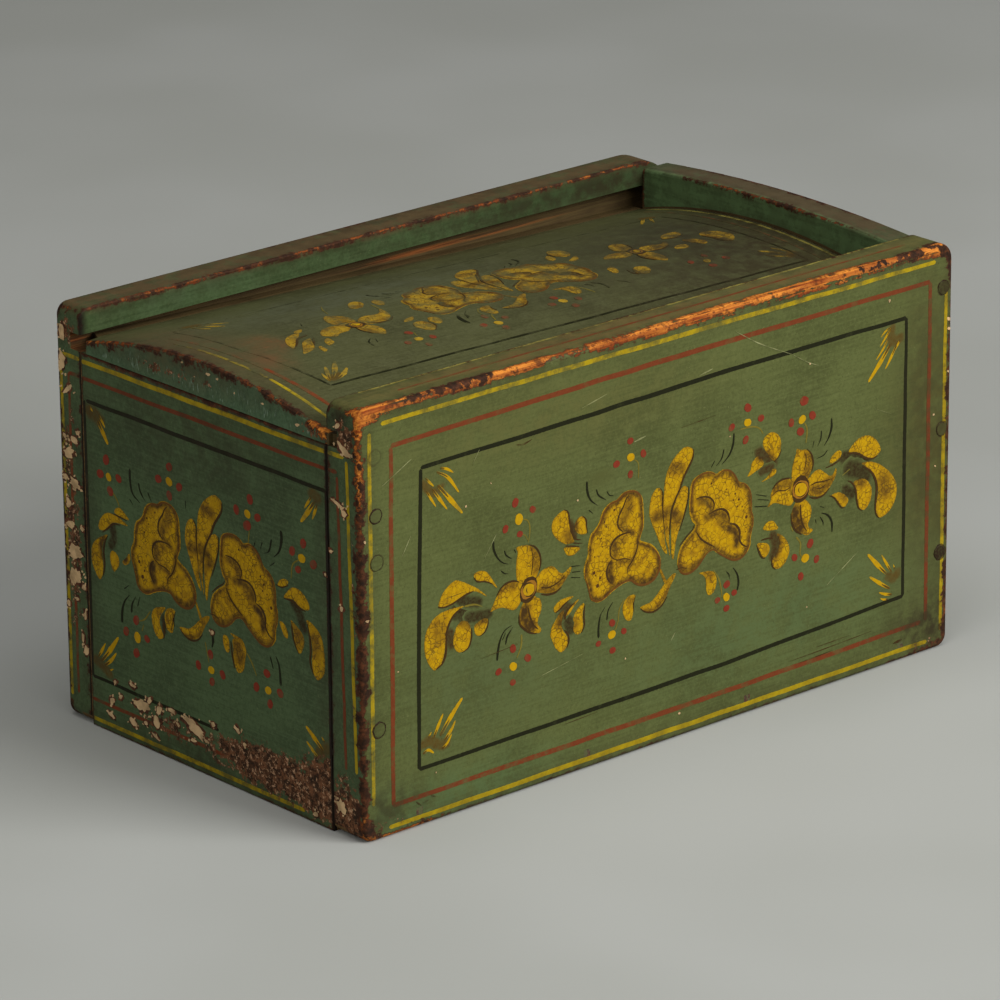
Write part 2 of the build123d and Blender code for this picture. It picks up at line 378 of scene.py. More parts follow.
def worn_arrises(s, place, colour, along, edge, rim, wear, scorched, ragged, grit, coarse):
    """Arrises worn to orange-brown wood, dark where it is scorched.

    Returns the colour, where the wood is worn bare, and the height of the wood.
    """
    uneven = ragged
    if along == 0:
        at_end = s.spread(s.math("ABSOLUTE", s.parts(place)[0]), 156.0, 165.0, 0.0, 0.6)
        uneven = s.plus(ragged, s.times(at_end, s.minus(coarse, ragged)))
    reach = s.times(s.spread(uneven, 0.30, 0.68, 0.0, 2.2), rim)
    torn = s.spread(uneven, 0.30, 0.64, 0.40, 1.35)
    for centre, radii, strength in wear:
        reach = s.plus(reach, s.times(s.blob(place, centre, radii, strength), torn))
    fringe = s.times(s.spread(grit, 0.34, 0.66, -1.0, 1.0), s.math("MINIMUM", reach, 1.0))
    broad = s.times(s.spread(coarse, 0.32, 0.68, -0.55, 0.55), s.math("MINIMUM", reach, 3.0))
    margin = s.plus(s.minus(reach, edge), s.plus(fringe, broad))
    wood, wood_height = timber(s, place, along, linear(234, 148, 56), linear(124, 54, 18))
    rubbed = s.mix(s.spread(ragged, 0.50, 0.60, 0.0, 0.6), wood, linear(126, 56, 21))
    rubbed = s.mix(s.spread(grit, 0.52, 0.66, 0.0, 0.7), rubbed, linear(92, 40, 17))
    shore = s.spread(s.plus(margin, s.spread(coarse, 0.34, 0.66, -0.9, 0.9)), 1.7, 0.3, 0.0, 0.85)
    rubbed = s.mix(shore, rubbed, linear(98, 44, 20))
    burnt = s.times(s.blobs(place, scorched), 1.15)
    burnt = s.spread(s.plus(burnt, s.spread(coarse, 0.36, 0.64, -0.6, 0.6)), 0.40, 0.75)
    char = s.mix(s.spread(grit, 0.36, 0.64), linear(44, 28, 17), linear(94, 54, 32))
    char = s.mix(s.spread(coarse, 0.44, 0.60, 0.0, 0.7), char, linear(36, 25, 17))
    rubbed = s.mix(burnt, rubbed, char)
    colour = s.mix(s.spread(margin, -1.1, -0.1, 0.0, 0.8), colour, linear(62, 34, 20))
    worn = s.spread(margin, -0.1, 0.25)
    return s.mix(worn, colour, rubbed), worn, wood_height


def bare_inside(s, place, colour, along, bare, rubs, ragged):
    """Wood that was never painted: darkened with painted shade high up, in the lid's groove, and rubbed
    orange in places.
    """
    wood, height = timber(s, place, along, linear(128, 100, 62), linear(64, 46, 28))
    grain = s.spread(height, 0.42, 0.58)
    # Painted shade: bare wood high up, in the lid's groove, is darkened
    groove_shade = s.spread(s.parts(place)[2], 158.0, 166.0, 0.0, 0.70)
    wood = s.mix(groove_shade, wood, s.mix(grain, linear(34, 30, 17), linear(78, 67, 38)))
    streaks = s.spread(ragged, 0.36, 0.60, 0.2, 1.2)
    for centre, radii, strength in rubs:
        share = s.times(s.blob(place, centre, radii, strength), streaks)
        wood = s.mix(share, wood, s.mix(grain, linear(72, 40, 22), linear(142, 84, 42)))
    return s.mix(bare, colour, wood)


def painted(
    name, tones, along, box, wear=(), scorched=(), losses=(), grime_and_shade=(), inside=None, rim=0.5, pegs=(),
    hold=1.75, patches=(), ends=None, arris=None, rubs=(), seams=(),
):
    """Old paint on a board, with the ornament's strokes, grime, lost paint and worn arrises.

    tones: three greens. along: the axis of the grain. box: the lowest and highest corners of the board
    where it is square, and None where arris is given.
    wear, scorched, losses, grime_and_shade, rubs and seams: lists of (centre, radii, strength).
    grime_and_shade darkens with old soiling, and in some spots with painted shade. scorched is where the
    worn wood is dark brown, rubs where bare wood is rubbed orange, and seams where the joints between
    boards are filled with
    old soiling. inside: a function of the shader and the place that is one where the wood was never
    painted.
    rim: how wide the worn arrises are everywhere. pegs: (x, z, how dark the end is, how dark its ring
    is).
    hold: how well the ornament's paint has lasted.
    patches: (centre, radii, strength, colour) of faint stains, and in places of painted light, shade and
    sheen. ends: (greens, x) for the face at that x.
    arris: a function for the distance to the arrises of a board that isn't square.
    """
    s = Shader(name)
    place = s.place()
    paint, brush, patch, fleck = plain_paint(s, place, tones, along, patches, ends)
    stroke, held = brush_strokes(s, place, fleck, hold)
    colour = s.mix(held, paint, stroke)

    edge = arris(s, place) if arris else arris_distance(s, place, box[0], box[1])
    ragged = s.noise(place, stretched(1.76, 41.6, along), 4.0, 0.65)
    coarse = s.noise(place, 7.0, 4.0, 0.62)
    grit = s.noise(place, 2.2, 4.0, 0.7)
    # Darkens near the arrises and in the listed spots: old soiling, and in some spots painted shade
    dirt_and_shade = s.blobs(place, grime_and_shade, s.spread(edge, 14.0, 0.5, 0.0, 0.34))
    dirt_and_shade = s.math("MULTIPLY", dirt_and_shade, s.spread(coarse, 0.34, 0.62, 0.35, 1.25), clamp=True)
    colour = s.mix(dirt_and_shade, colour, linear(46, 36, 22))
    colour = peg_marks(s, place, colour, pegs, coarse, fleck)
    colour, lost = lost_paint(s, place, colour, losses, grit, coarse)
    colour, worn, wood_height = worn_arrises(
        s, place, colour, along, edge, rim, wear, scorched, ragged, grit, coarse,
    )
    for centre, radii, strength in seams:
        filled = s.math("MINIMUM", s.blob(place, centre, radii, strength), 0.92)
        colour = s.mix(filled, colour, linear(25, 20, 13))
    gone = s.most(worn, lost)
    if inside is not None:
        bare = inside(s, place)
        colour = bare_inside(s, place, colour, along, bare, rubs, ragged)
        gone = s.most(gone, bare)

    # Flakes are plates of the ornament: their rims show the wood, and their middles the pale ground
    flake = s.attribute("flake")
    ground_flake = s.spread(flake, 0.3, 0.4, smooth=False)
    cream_flake = s.spread(flake, 0.7, 0.8, smooth=False)
    brown = s.mix(s.spread(grit, 0.4, 0.6), linear(62, 38, 26), linear(104, 62, 40))
    cream = s.mix(s.spread(coarse, 0.36, 0.66), CREAM, linear(164, 136, 98))
    colour = s.mix(ground_flake, colour, brown)
    colour = s.mix(cream_flake, colour, cream)
    gone = s.most(gone, cream_flake)

    roughness = s.spread(gone, 0.0, 1.0, 0.52, 0.72, smooth=False)
    roughness = s.plus(roughness, s.spread(patch, 0.3, 0.7, -0.06, 0.08))
    height = s.plus(
        s.times(brush, 0.35), s.times(grit, 0.12), s.times(wood_height, s.times(gone, 0.9)),
        s.times(s.minus(1.0, gone), 0.9), s.times(held, 0.5),
    )
    return s.finish(colour, roughness, s.bump(height, 0.55, 0.22), specular=0.11)


def inside_side_board(s, place):
    """One on the inner faces and in the slots of the front and back boards."""
    x, y, z = s.parts(place)
    near_middle = s.math("LESS_THAN", s.math("ABSOLUTE", s.minus(y, LID_MIDDLE)), SLOT_FLOOR)
    below_lip = s.math("LESS_THAN", z, SLOT_LIP - 0.4)
    off_left = s.math("GREATER_THAN", x, LEFT + 0.3)
    off_right = s.math("LESS_THAN", x, RIGHT - 0.3)
    return s.times(near_middle, below_lip, off_left, off_right)


def inside_low_end(s, place):
    """One everywhere but on the outer face."""
    x, y, z = s.parts(place)
    return s.math("GREATER_THAN", x, LEFT + 2.0)


def inside_tall_end(s, place):
    """One on the inner face, up to an arched line where the lid meets it."""
    x, y, z = s.parts(place)
    inner = s.math("LESS_THAN", x, RIGHT - 14.0)
    aside = s.math("DIVIDE", s.minus(y, LID_MIDDLE), HALF_INSIDE)
    line = s.minus(176.0, s.times(s.math("POWER", s.math("ABSOLUTE", aside), 2.0), 11.0))
    return s.times(inner, s.math("LESS_THAN", z, line))


def inside_lid(s, place):
    """One on the lid's underside and on the tongues in the slots."""
    x, y, z = s.parts(place)
    tongue = s.math("GREATER_THAN", s.math("ABSOLUTE", s.minus(y, LID_MIDDLE)), HALF_INSIDE + 0.5)
    floor = s.minus(LID_UNDERSIDE, s.times(s.minus(x, LEFT), LID_FALL))
    under = s.math("LESS_THAN", z, floor)
    return s.most(tongue, s.times(under, s.math("GREATER_THAN", x, LEFT + 0.4)))


def smooth_line(points, closed=False, step=0.8):
    """Points at even steps on a smooth curve through the given points."""
    knots = np.array(points, float)
    count = len(knots)
    spans = count if closed else count - 1
    fine = []
    for i in range(spans):
        if closed:
            a, b, c, d = (knots[(i + k) % count] for k in (-1, 0, 1, 2))
        else:
            b, c = knots[i], knots[i + 1]
            a = knots[i - 1] if i else 2 * b - c
            d = knots[i + 2] if i + 2 < count else 2 * c - b
        for t in np.arange(0, 1, 0.1):
            square = (2 * a - 5 * b + 4 * c - d) * t ** 2
            cube = (3 * b - a - 3 * c + d) * t ** 3
            fine.append(0.5 * (2 * b + (c - a) * t + square + cube))
    fine.append(knots[0] if closed else knots[-1])
    fine = np.array(fine)
    run = np.r_[0, np.cumsum(np.linalg.norm(np.diff(fine, axis=0), axis=1))]
    pieces = max(2, int(math.ceil(run[-1] / step)))
    at = np.linspace(0, run[-1], pieces + 1)
    line = np.c_[np.interp(at, run, fine[:, 0]), np.interp(at, run, fine[:, 1])]
    return line[:-1] if closed else line


def distance_to(points, line, closed=False):
    """Distance of each point to a line."""
    ends = np.roll(line, -1, axis=0) if closed else line[1:]
    starts = line if closed else line[:-1]
    best = np.full(len(points), 1e9)
    for a, b in zip(starts, ends):
        span = b - a
        t = np.clip(((points - a) @ span) / max(span @ span, 1e-12), 0, 1)
        best = np.minimum(best, np.linalg.norm(points - (a + t[:, None] * span), axis=1))
    return best


def sideways(line):
    """The direction across a line, of length one, at each of its points."""
    heading = np.gradient(line, axis=0)
    heading /= np.maximum(np.linalg.norm(heading, axis=1), 1e-9)[:, None]
    return np.c_[-heading[:, 1], heading[:, 0]]


def inset(points, ring, by):
    """A line that follows an outline, moved inwards from it."""
    line = smooth_line(points)
    aside = sideways(line)
    outline = smooth_line(ring, True)
    if np.mean(is_within(line + 1.6 * aside, outline)) < 0.5:
        aside = -aside
    return line + by * aside


def is_within(points, ring):
    """Whether each point is inside a closed line."""
    hit = np.zeros(len(points), bool)
    for (x0, y0), (x1, y1) in zip(ring, np.roll(ring, -1, axis=0)):
        crosses = (y0 > points[:, 1]) != (y1 > points[:, 1])
        with np.errstate(divide="ignore", invalid="ignore"):
            at = (x1 - x0) * (points[:, 1] - y0) / (y1 - y0) + x0
        hit ^= crosses & (points[:, 0] < at)
    return hit


def unturned(points):
    return np.array(points, float)


def mirrored(width):
    return lambda points: np.c_[width - unturned(points)[:, 0], unturned(points)[:, 1]]


def shifted(across, up, squeeze=1.0):
    return lambda points: np.c_[unturned(points)[:, 0] + across, unturned(points)[:, 1] * squeeze + up]


class Film:
    """Strokes of paint that lie on one board, gathered into one mesh.

    face turns a place on the board and a height above it into a point. turn shifts or mirrors the strokes
    before that. span is how far across the board flakes may reach. Heights are above the board.
    """

    def __init__(self, name, body, slot, material, face):
        self.name = name
        self.body = body
        self.slot = slot
        self.material = material
        self.face = face
        self.turn = unturned
        self.places = []
        self.faces = []
        self.marks = {label: [] for label in ("ink", "cover", "glaze", "flake", "crazed", "sheer")}
        self.glaze_lines = []
        self.span = (0, 1000)
        self.yellow = YELLOW
        self.count = 0

    def plate(
        self, ring, height, ink, cover=1.0, glaze=None, flake=0.0, grid=0.0, soft=0.0, turned=False,
        crazed=0.0,
    ):
        """A thin closed plate with this outline. Its material reads the marks that are put on its points.

        cover: how thickly the ink covers, a number or a function of the points. glaze: a function for the
        umber over it. grid: how far apart points lie inside the outline. soft: how wide its faded rim is.
        """
        ring = np.array(ring if turned else self.turn(np.array(ring)))
        twice_area = np.sum(ring[:, 0] * np.roll(ring[:, 1], -1) - np.roll(ring[:, 0], -1) * ring[:, 1])
        if twice_area < 0:
            ring = ring[::-1]
        inner = np.zeros((0, 2))
        if grid:
            low, high = ring.min(0), ring.max(0)
            rows = [
                (u + (0.5 * grid if row % 2 else 0.0), v)
                for row, v in enumerate(np.arange(low[1], high[1], grid * 0.87))
                for u in np.arange(low[0], high[0], grid)
            ]
            if rows:
                inner = np.array(rows)
                inner = inner[is_within(inner, ring)]
                if len(inner):
                    inner = inner[distance_to(inner, ring, True) > 0.4 * grid]
        flat = np.vstack([ring, inner])
        size = len(ring)
        edges = [(i, (i + 1) % size) for i in range(size)]
        made = delaunay_2d_cdt([Vector(p) for p in flat], edges, [list(range(size))], 1, 1e-5)
        top = np.array([tuple(p) for p in made[0]])
        triangles = [tuple(t) for t in made[2]]
        if not triangles:
            return
        given = {old: new for new, olds in enumerate(made[3]) for old in olds}
        rim = [given[i] for i in range(size)]
        # Plates that cross each other don't lie in one plane
        self.count += 1
        height += 0.0004 * (self.count % 60)
        start = len(self.places)
        for u, v in top:
            self.places.append(self.face(u, v, height))
        below = {}
        for i in rim:
            if i not in below:
                below[i] = len(self.places)
                self.places.append(self.face(top[i][0], top[i][1], PLATE_FOOT))
        self.faces += [tuple(start + i for i in t) for t in triangles]
        for i, j in zip(rim, rim[1:] + rim[:1]):
            if i != j:
                self.faces.append((start + i, below[i], below[j], start + j))
        under = []
        for i in rim:
            if not under or below[i] != under[-1]:
                under.append(below[i])
        self.faces.append(tuple(reversed(under)))
        if soft:
            share = np.clip(distance_to(top, ring, True) / soft, 0, 1)
            share = cover * share * share * (3 - 2 * share)
        elif callable(cover):
            share = cover(top)
        else:
            share = np.full(len(top), float(cover))
        depth = glaze(top, ring) if glaze else np.zeros(len(top))
        extra = len(below)
        self.marks["cover"] += list(share) + [float(np.mean(share))] * extra
        self.marks["glaze"] += list(depth) + [0.0] * extra
        even = {"ink": ink, "flake": flake, "crazed": crazed, "sheer": 1.0 if soft else 0.0}
        for label, value in even.items():
            self.marks[label] += [value] * (len(top) + extra)

    def petal(self, points, ink=YELLOW, rim=(0.9, 0.45), grid=0.9, height=0.10, cover=1.0):
        """A filled leaf or petal. rim: how wide and how strong the brown shading along its outline is."""
        ring = smooth_line(points, True, 0.7)
        wobble = np.array([[dice.uniform(-0.06, 0.06), dice.uniform(-0.06, 0.06)] for _ in ring])

        def glaze(top, outline):
            depth = np.zeros(len(top))
            if rim[1]:
                # A blossom's shading is darkest along the line drawn inside its edge
                inwards = distance_to(top, outline, True) - (OUTLINE_INSET if rim[0] > 1.5 else 0.0)
                reach = np.where(inwards > 0, rim[0], 0.8)
                depth = 1.25 * rim[1] * np.clip(1.3 - np.abs(inwards) / reach, 0, 1)
            for line, radius, strength in self.glaze_lines:
                near = distance_to(top, line) / radius
                depth = np.maximum(depth, min(1.0, 1.2 * strength) * np.clip(1.45 - near, 0, 1) ** 0.7)
            return depth

        self.plate(ring + wobble, height, ink, cover, glaze, grid=grid, crazed=1.0)

    def stroke(self, points, widths, ink=UMBER, height=0.16, cover=1.0, fade=None):
        """A brush line whose width follows the given widths, with round ends."""
        line = smooth_line(points, False, 0.7)
        run = np.r_[0, np.cumsum(np.linalg.norm(np.diff(line, axis=0), axis=1))]
        total = run[-1]
        width = np.interp(run / total, np.linspace(0, 1, len(widths)), widths)
        width = width * np.array([dice.uniform(0.93, 1.07) for _ in run])
        first, last = max(widths[0] / 2, 0.05), max(widths[-1] / 2, 0.05)
        cap = np.sqrt(np.clip(1 - np.clip(1 - run / first, 0, 1) ** 2, 0.04, 1))
        cap = cap * np.sqrt(np.clip(1 - np.clip(1 - (total - run) / last, 0, 1) ** 2, 0.04, 1))
        across = sideways(line) * (0.5 * width * cap)[:, None]
        ring = np.vstack([line - across, (line + across)[::-1]])
        if fade:
            fade_line = self.turn(line)
            shares = np.interp(run / total, np.linspace(0, 1, len(fade)), fade)

            def thinning(top):
                nearest = ((top[:, None, :] - fade_line[None]) ** 2).sum(2).argmin(1)
                return shares[nearest]
            cover = thinning
        self.plate(ring, height, ink, cover)

    def dot(self, centre, radius, ink=RED, height=0.20, cover=1.0):
        steps = 16
        start = dice.uniform(0, 6)
        middle = self.turn(np.array([centre], float))[0]
        ring = []
        for i in range(steps):
            angle = 2 * math.pi * i / steps
            size = radius * (1 + 0.10 * math.sin(2 * angle + start) + dice.uniform(-0.05, 0.05))
            ring.append((middle[0] + size * math.cos(angle), middle[1] + size * math.sin(angle)))
        self.plate(np.array(ring), height, ink, cover, turned=True)

    def smudge(self, points, radius, ink=SMUDGE, height=0.075, cover=1.0):
        """A soft patch of dark glaze on the ground paint, under the petals."""
        line = smooth_line(points, False, 0.8)
        low, high = line.min(0) - radius, line.max(0) + radius
        centre = (low + high) / 2
        ring = []
        for i in range(28):
            angle = 2 * math.pi * i / 28
            ray = np.array([math.cos(angle), math.sin(angle)])
            far = 0.0
            for p in line:
                along = (p - centre) @ ray
                off = np.linalg.norm((p - centre) - along * ray)
                if off < radius:
                    far = max(far, along + math.sqrt(radius ** 2 - off ** 2))
            ring.append(centre + ray * (1.15 * max(far, 0.3 * radius)) * dice.uniform(0.95, 1.05))
        self.plate(np.array(ring), height, ink, cover, grid=0.6, soft=0.7 * radius)

    def flake_patch(self, centre, half_long, half_wide, turn=0.0, bare=1.0, height=0.22):
        """A jagged patch of lost paint. bare: 1 for the pale ground, 0.5 for the brown wood round it."""
        steps = max(9, int(3.2 * (half_long + half_wide)))
        ring = []
        waves = [(k, dice.uniform(0, 6.3), dice.uniform(0.08, 0.26) / k ** 0.5) for k in (2, 3, 5)]
        low, high = self.span[0] + 0.5, self.span[1] - 0.5
        for i in range(steps):
            angle = 2 * math.pi * (i + dice.uniform(-0.25, 0.25)) / steps
            size = 1 + sum(share * math.sin(k * angle + start) for k, start, share in waves)
            size = max(0.4, size) * dice.uniform(0.74, 1.16)
            p = (half_long * size * math.cos(angle), half_wide * size * math.sin(angle))
            c, n = math.cos(turn), math.sin(turn)
            at = (centre[0] + p[0] * c - p[1] * n, centre[1] + p[0] * n + p[1] * c)
            ring.append((min(max(at[0], low), high), max(at[1], 1.8)))
        self.plate(np.array(ring), height, CREAM, 1.0, flake=bare, grid=1.2)

    def build(self):
        mesh = bpy.data.meshes.new(self.name)
        mesh.from_pydata([tuple(c * MM for c in p) for p in self.places], [], self.faces)
        for label, values in self.marks.items():
            kind, field = ("FLOAT_COLOR", "color") if label == "ink" else ("FLOAT", "value")
            layer = mesh.attributes.new(label, kind, "POINT")
            layer.data.foreach_set(field, np.array(values, np.float32).ravel())
        mesh.materials.append(self.material)
        piece = bpy.data.objects.new(self.name, mesh)
        bpy.context.scene.collection.objects.link(piece)
        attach(piece, self.body)


# The ornament. Places are in millimetres on the front, from its lower left corner.
# Glazes are points, radius and strength. Petals are an outline, then how wide and strong its rim is.
# Lines, tendrils and stems are points and widths. Smudges are points, radius and colour.

# The heart of the garland: two blossoms with three long leaves between them
HEART_GLAZES = [
    ([(146.8, 115), (146.4, 111), (143.6, 107.4), (142.4, 104.4)], 2.5, 0.62),
    ([(143.2, 101.8), (145.4, 100.6), (148.4, 99)], 1.3, 0.74),
    ([(137.8, 97), (138.6, 94.8), (138.4, 92.2)], 2.2, 0.70),
    ([(141.4, 97.8), (144, 97.4)], 1.6, 0.5),
    ([(135.8, 88), (135.4, 84.6), (136.4, 80.6)], 2.0, 0.84),
    ([(140, 88.2), (143.6, 87.8), (147.1, 86.8)], 1.3, 0.6),
    ([(150.9, 95.5), (150.5, 91.5), (148, 87), (145.6, 83.5)], 1.3, 0.6),
    ([(154.6, 79.8), (159.5, 81.6)], 1.2, 0.35),
    ([(150, 83.5), (157, 88.5)], 1.2, 0.35),
    ([(151.5, 77), (157, 75.4), (162.3, 79)], 1.8, 0.75),
    ([(132, 111), (138.6, 115.2), (146, 117.2), (152, 114.6)], 1.5, 0.55),
    ([(186.4, 103.8), (190, 103), (192.9, 100.6), (193, 97)], 2.0, 0.66),
    ([(190.5, 95.8), (195, 95.8), (200, 94.6), (202, 91)], 1.9, 0.72),
    ([(198, 92.6), (201, 89.4)], 2.0, 0.6),
    ([(203.4, 87.4), (206.8, 85.6), (208, 82.4), (208.2, 79)], 1.8, 0.86),
    ([(185, 90.2), (187.1, 86.4), (190.7, 83.8), (194.2, 81.4)], 1.3, 0.6),
    ([(177.5, 84.5), (184.5, 80.6)], 1.2, 0.35),
    ([(180.5, 88.3), (187.5, 82.6)], 1.2, 0.35),
    ([(174.8, 77.5), (179.5, 74.4), (186, 76.5)], 1.7, 0.7),
    ([(197.5, 77), (205, 73.8), (212, 73.6)], 1.6, 0.6),
    ([(183, 113), (190, 115), (197, 113)], 1.4, 0.5),
    ([(206.5, 111), (213, 104.5), (216, 98)], 1.6, 0.55),
    ([(170.8, 122.2), (175.6, 121.4)], 2.6, 0.66),
    ([(161.5, 102.6), (165.5, 102.8), (169.5, 103.4)], 2.8, 0.70),
    ([(172, 102), (174, 99)], 2.8, 0.72),
    ([(166, 91), (167.6, 98)], 1.6, 0.5),
    ([(171, 95), (172.4, 99)], 2.0, 0.5),
    ([(155, 62.4), (160.5, 62.2), (165.8, 65.2), (169.6, 70.4)], 1.3, 0.62),
    ([(167.9, 72), (171, 74)], 1.4, 0.5),
    ([(146, 70.2), (147.6, 69)], 2.2, 0.5),
    ([(190.6, 70.8), (192.8, 68.6)], 2.4, 0.5),
]
HEART_PETALS = [
    # the left blossom
    ([(130.4, 111), (132.1, 113.5), (135.7, 115.5), (139.3, 116), (142.1, 117.8), (145.4, 118.5),
      (149.3, 117.8), (152.1, 116), (153.9, 113.1), (154.4, 108.9), (154.7, 104.6), (154.5, 100.3),
      (153, 96.9), (152.6, 94.8), (155.6, 93.2), (159.3, 91.2), (162.6, 87.4), (164.3, 83.1),
      (163.9, 78.9), (161.4, 75.8), (157.9, 74), (153.6, 74), (150, 75.6), (147.1, 77.8), (143.6, 77.9),
      (140, 77), (136.4, 75.6), (132.9, 73.9), (129.6, 73.1), (126.4, 73.9), (124.3, 75.8),
      (123.4, 78.9), (122.5, 82.4), (121.1, 86), (120.7, 89.6), (121.4, 92.4), (122.9, 95.3),
      (123.2, 99.6), (124.6, 103.9), (127.1, 106), (129.3, 108.1)], (1.9, 0.75)),
    # the right blossom
    ([(181.4, 111.7), (182.9, 114.2), (186.4, 115.7), (190.7, 116.1), (194.3, 115), (196.4, 113.8),
      (199.3, 114.7), (202.9, 114.2), (206.1, 112.1), (208.2, 109.2), (209.5, 107.2), (212.9, 105.6),
      (215.4, 103.1), (216.8, 99.6), (217.1, 95.3), (217.1, 92.2), (218, 89.3), (217.9, 85.3),
      (216.6, 81.2), (216.2, 76.7), (213.6, 73.5), (210, 71.9), (205.7, 72.4), (200.7, 75.3),
      (197.1, 77.8), (194.3, 79.8), (190.7, 78.9), (187.1, 75.5), (183.6, 73.3), (179.3, 72.7),
      (175.7, 74.3), (173.9, 77.6), (173.9, 81.7), (175.7, 86), (179.3, 89.2), (182.9, 91.7),
      (184, 93.8), (182.2, 96.2), (180.7, 100.3), (180.7, 105.5)], (1.9, 0.72)),
    # the three leaves, left, right and middle
    ([(162.1, 115.5), (164.3, 114.6), (165, 111.7), (164.9, 107.4), (165.4, 102), (166.1, 96),
      (166.8, 90.3), (167.9, 85), (165.8, 86.8), (163.6, 91), (161.4, 96), (159.4, 100.3),
      (157.9, 104.6), (158.1, 108.9), (159.3, 113)], (0.7, 0.3)),
    ([(177.1, 112.7), (179.4, 112), (179.8, 108.9), (178.9, 104.6), (176.8, 98.9), (174.6, 93.9),
      (172.9, 88.9), (171.6, 81.7), (170.4, 84.1), (170.3, 88.9), (170.2, 96), (170.8, 102.4),
      (172.3, 106), (174.4, 110.3)], (0.7, 0.3)),
    ([(177.1, 129.7), (180.7, 129.4), (182.8, 127.6), (182, 124.2), (179.4, 120.6), (176.7, 116.7),
      (174.8, 112.4), (172.7, 109.2), (170.5, 105.3), (169.5, 101.7), (169, 96), (169, 90.3),
      (169.6, 83.6), (168.5, 87.4), (166.9, 93.1), (165.8, 100.3), (165.7, 105.3), (166.1, 111.7),
      (166.7, 117.4), (168.2, 121.7), (171.4, 126)], (0.8, 0.35)),
    # the curved leaf and its stem below the leaves
    ([(152.5, 64.7), (155, 65.2), (158.6, 65.7), (161.4, 67.4), (164.3, 69.9), (167.9, 73.1),
      (171.4, 75), (172.9, 74.7), (171.8, 72.6), (169.4, 69.4), (167.5, 66), (164.3, 62.8), (160, 61.4),
      (156.4, 62), (153.9, 63.2)], (0.8, 0.35)),
    ([(163.4, 79.2), (164.6, 78.8), (166.2, 75.5), (167.6, 72.8), (166.6, 71.9), (165, 75)],
     (0.6, 0.5)),
    # the small leaves below each blossom
    ([(149.7, 71), (146.4, 71.4), (143.7, 69.9), (142.5, 66.4), (143.4, 63), (145, 60.8), (147.4, 60.6),
      (148.5, 63.9), (148.3, 67.4)], (0.6, 0.3)),
    ([(186.3, 71.5), (190.7, 71.3), (194.3, 70.4), (196.3, 67.4), (196.3, 63.9), (194.6, 60.8),
      (191.8, 60.3), (190.5, 63.1), (190.4, 67), (188.9, 70)], (0.6, 0.3)),
]
# Outlines of the blossoms: which of the petals above, then points and widths
HEART_OUTLINES = [
    (0, [(124, 99.6), (124.6, 103.9), (127.1, 106), (129.8, 109.5), (131.4, 113), (135.2, 115.9),
         (139.5, 116.6), (142.4, 118.3), (145.8, 119), (150.4, 118), (153.6, 115), (155, 110)],
         (0.25, 0.5, 0.7, 0.8, 0.8, 0.9, 0.4)),
    (0, [(155, 106), (154.8, 100), (153.4, 96.6), (153, 95)], (0.3, 0.6, 0.4)),
    (0, [(159.6, 91.3), (163, 87.4), (164.9, 83), (164.3, 78.6), (161.6, 75), (157.6, 73.4),
         (153.2, 73.5), (149.4, 75.2), (146.6, 77.4), (143.4, 77.4), (140, 76.6), (136.2, 75.1),
         (132.6, 73.3), (129.4, 72.6), (126, 73.4), (123.6, 75.6), (122.6, 79), (121.6, 82.4),
         (120.4, 86), (120.4, 90)], (0.4, 0.9, 1.2, 1.0, 0.9, 0.8, 0.8, 0.6, 0.3)),
    (1, [(180.3, 101), (180.4, 105), (181.1, 109), (181.8, 112.6), (184, 115.4), (188.6, 116.7),
         (193, 116.2), (196.4, 114.4)], (0.4, 0.7, 0.7, 0.8, 0.4)),
    (1, [(197.6, 114.4), (200, 115.3), (203.4, 114.8), (206.7, 112.5), (208.9, 109.5), (210, 107.5)],
     (0.4, 0.8, 0.9, 0.5)),
    (1, [(210.6, 107.2), (213.2, 106.2), (216, 103.3), (217.5, 99.6), (217.8, 95.3), (217.7, 92.4),
         (218.7, 89.2), (218.5, 85), (217.1, 81), (216.8, 77.6)], (0.4, 0.7, 0.7, 0.6, 0.7, 0.6, 0.3)),
    (1, [(216.4, 76.4), (213.9, 72.9), (210, 71.2), (205.5, 71.7), (200.3, 74.7), (196.7, 77.2),
         (194.3, 79.1), (190.9, 78.2), (187.3, 74.9), (183.7, 72.7), (179.2, 72), (175.4, 73.6),
         (173.4, 77.4), (173.4, 81.4)], (0.5, 1.0, 0.9, 0.7, 0.6, 0.9, 1.1, 0.7, 0.3)),
]
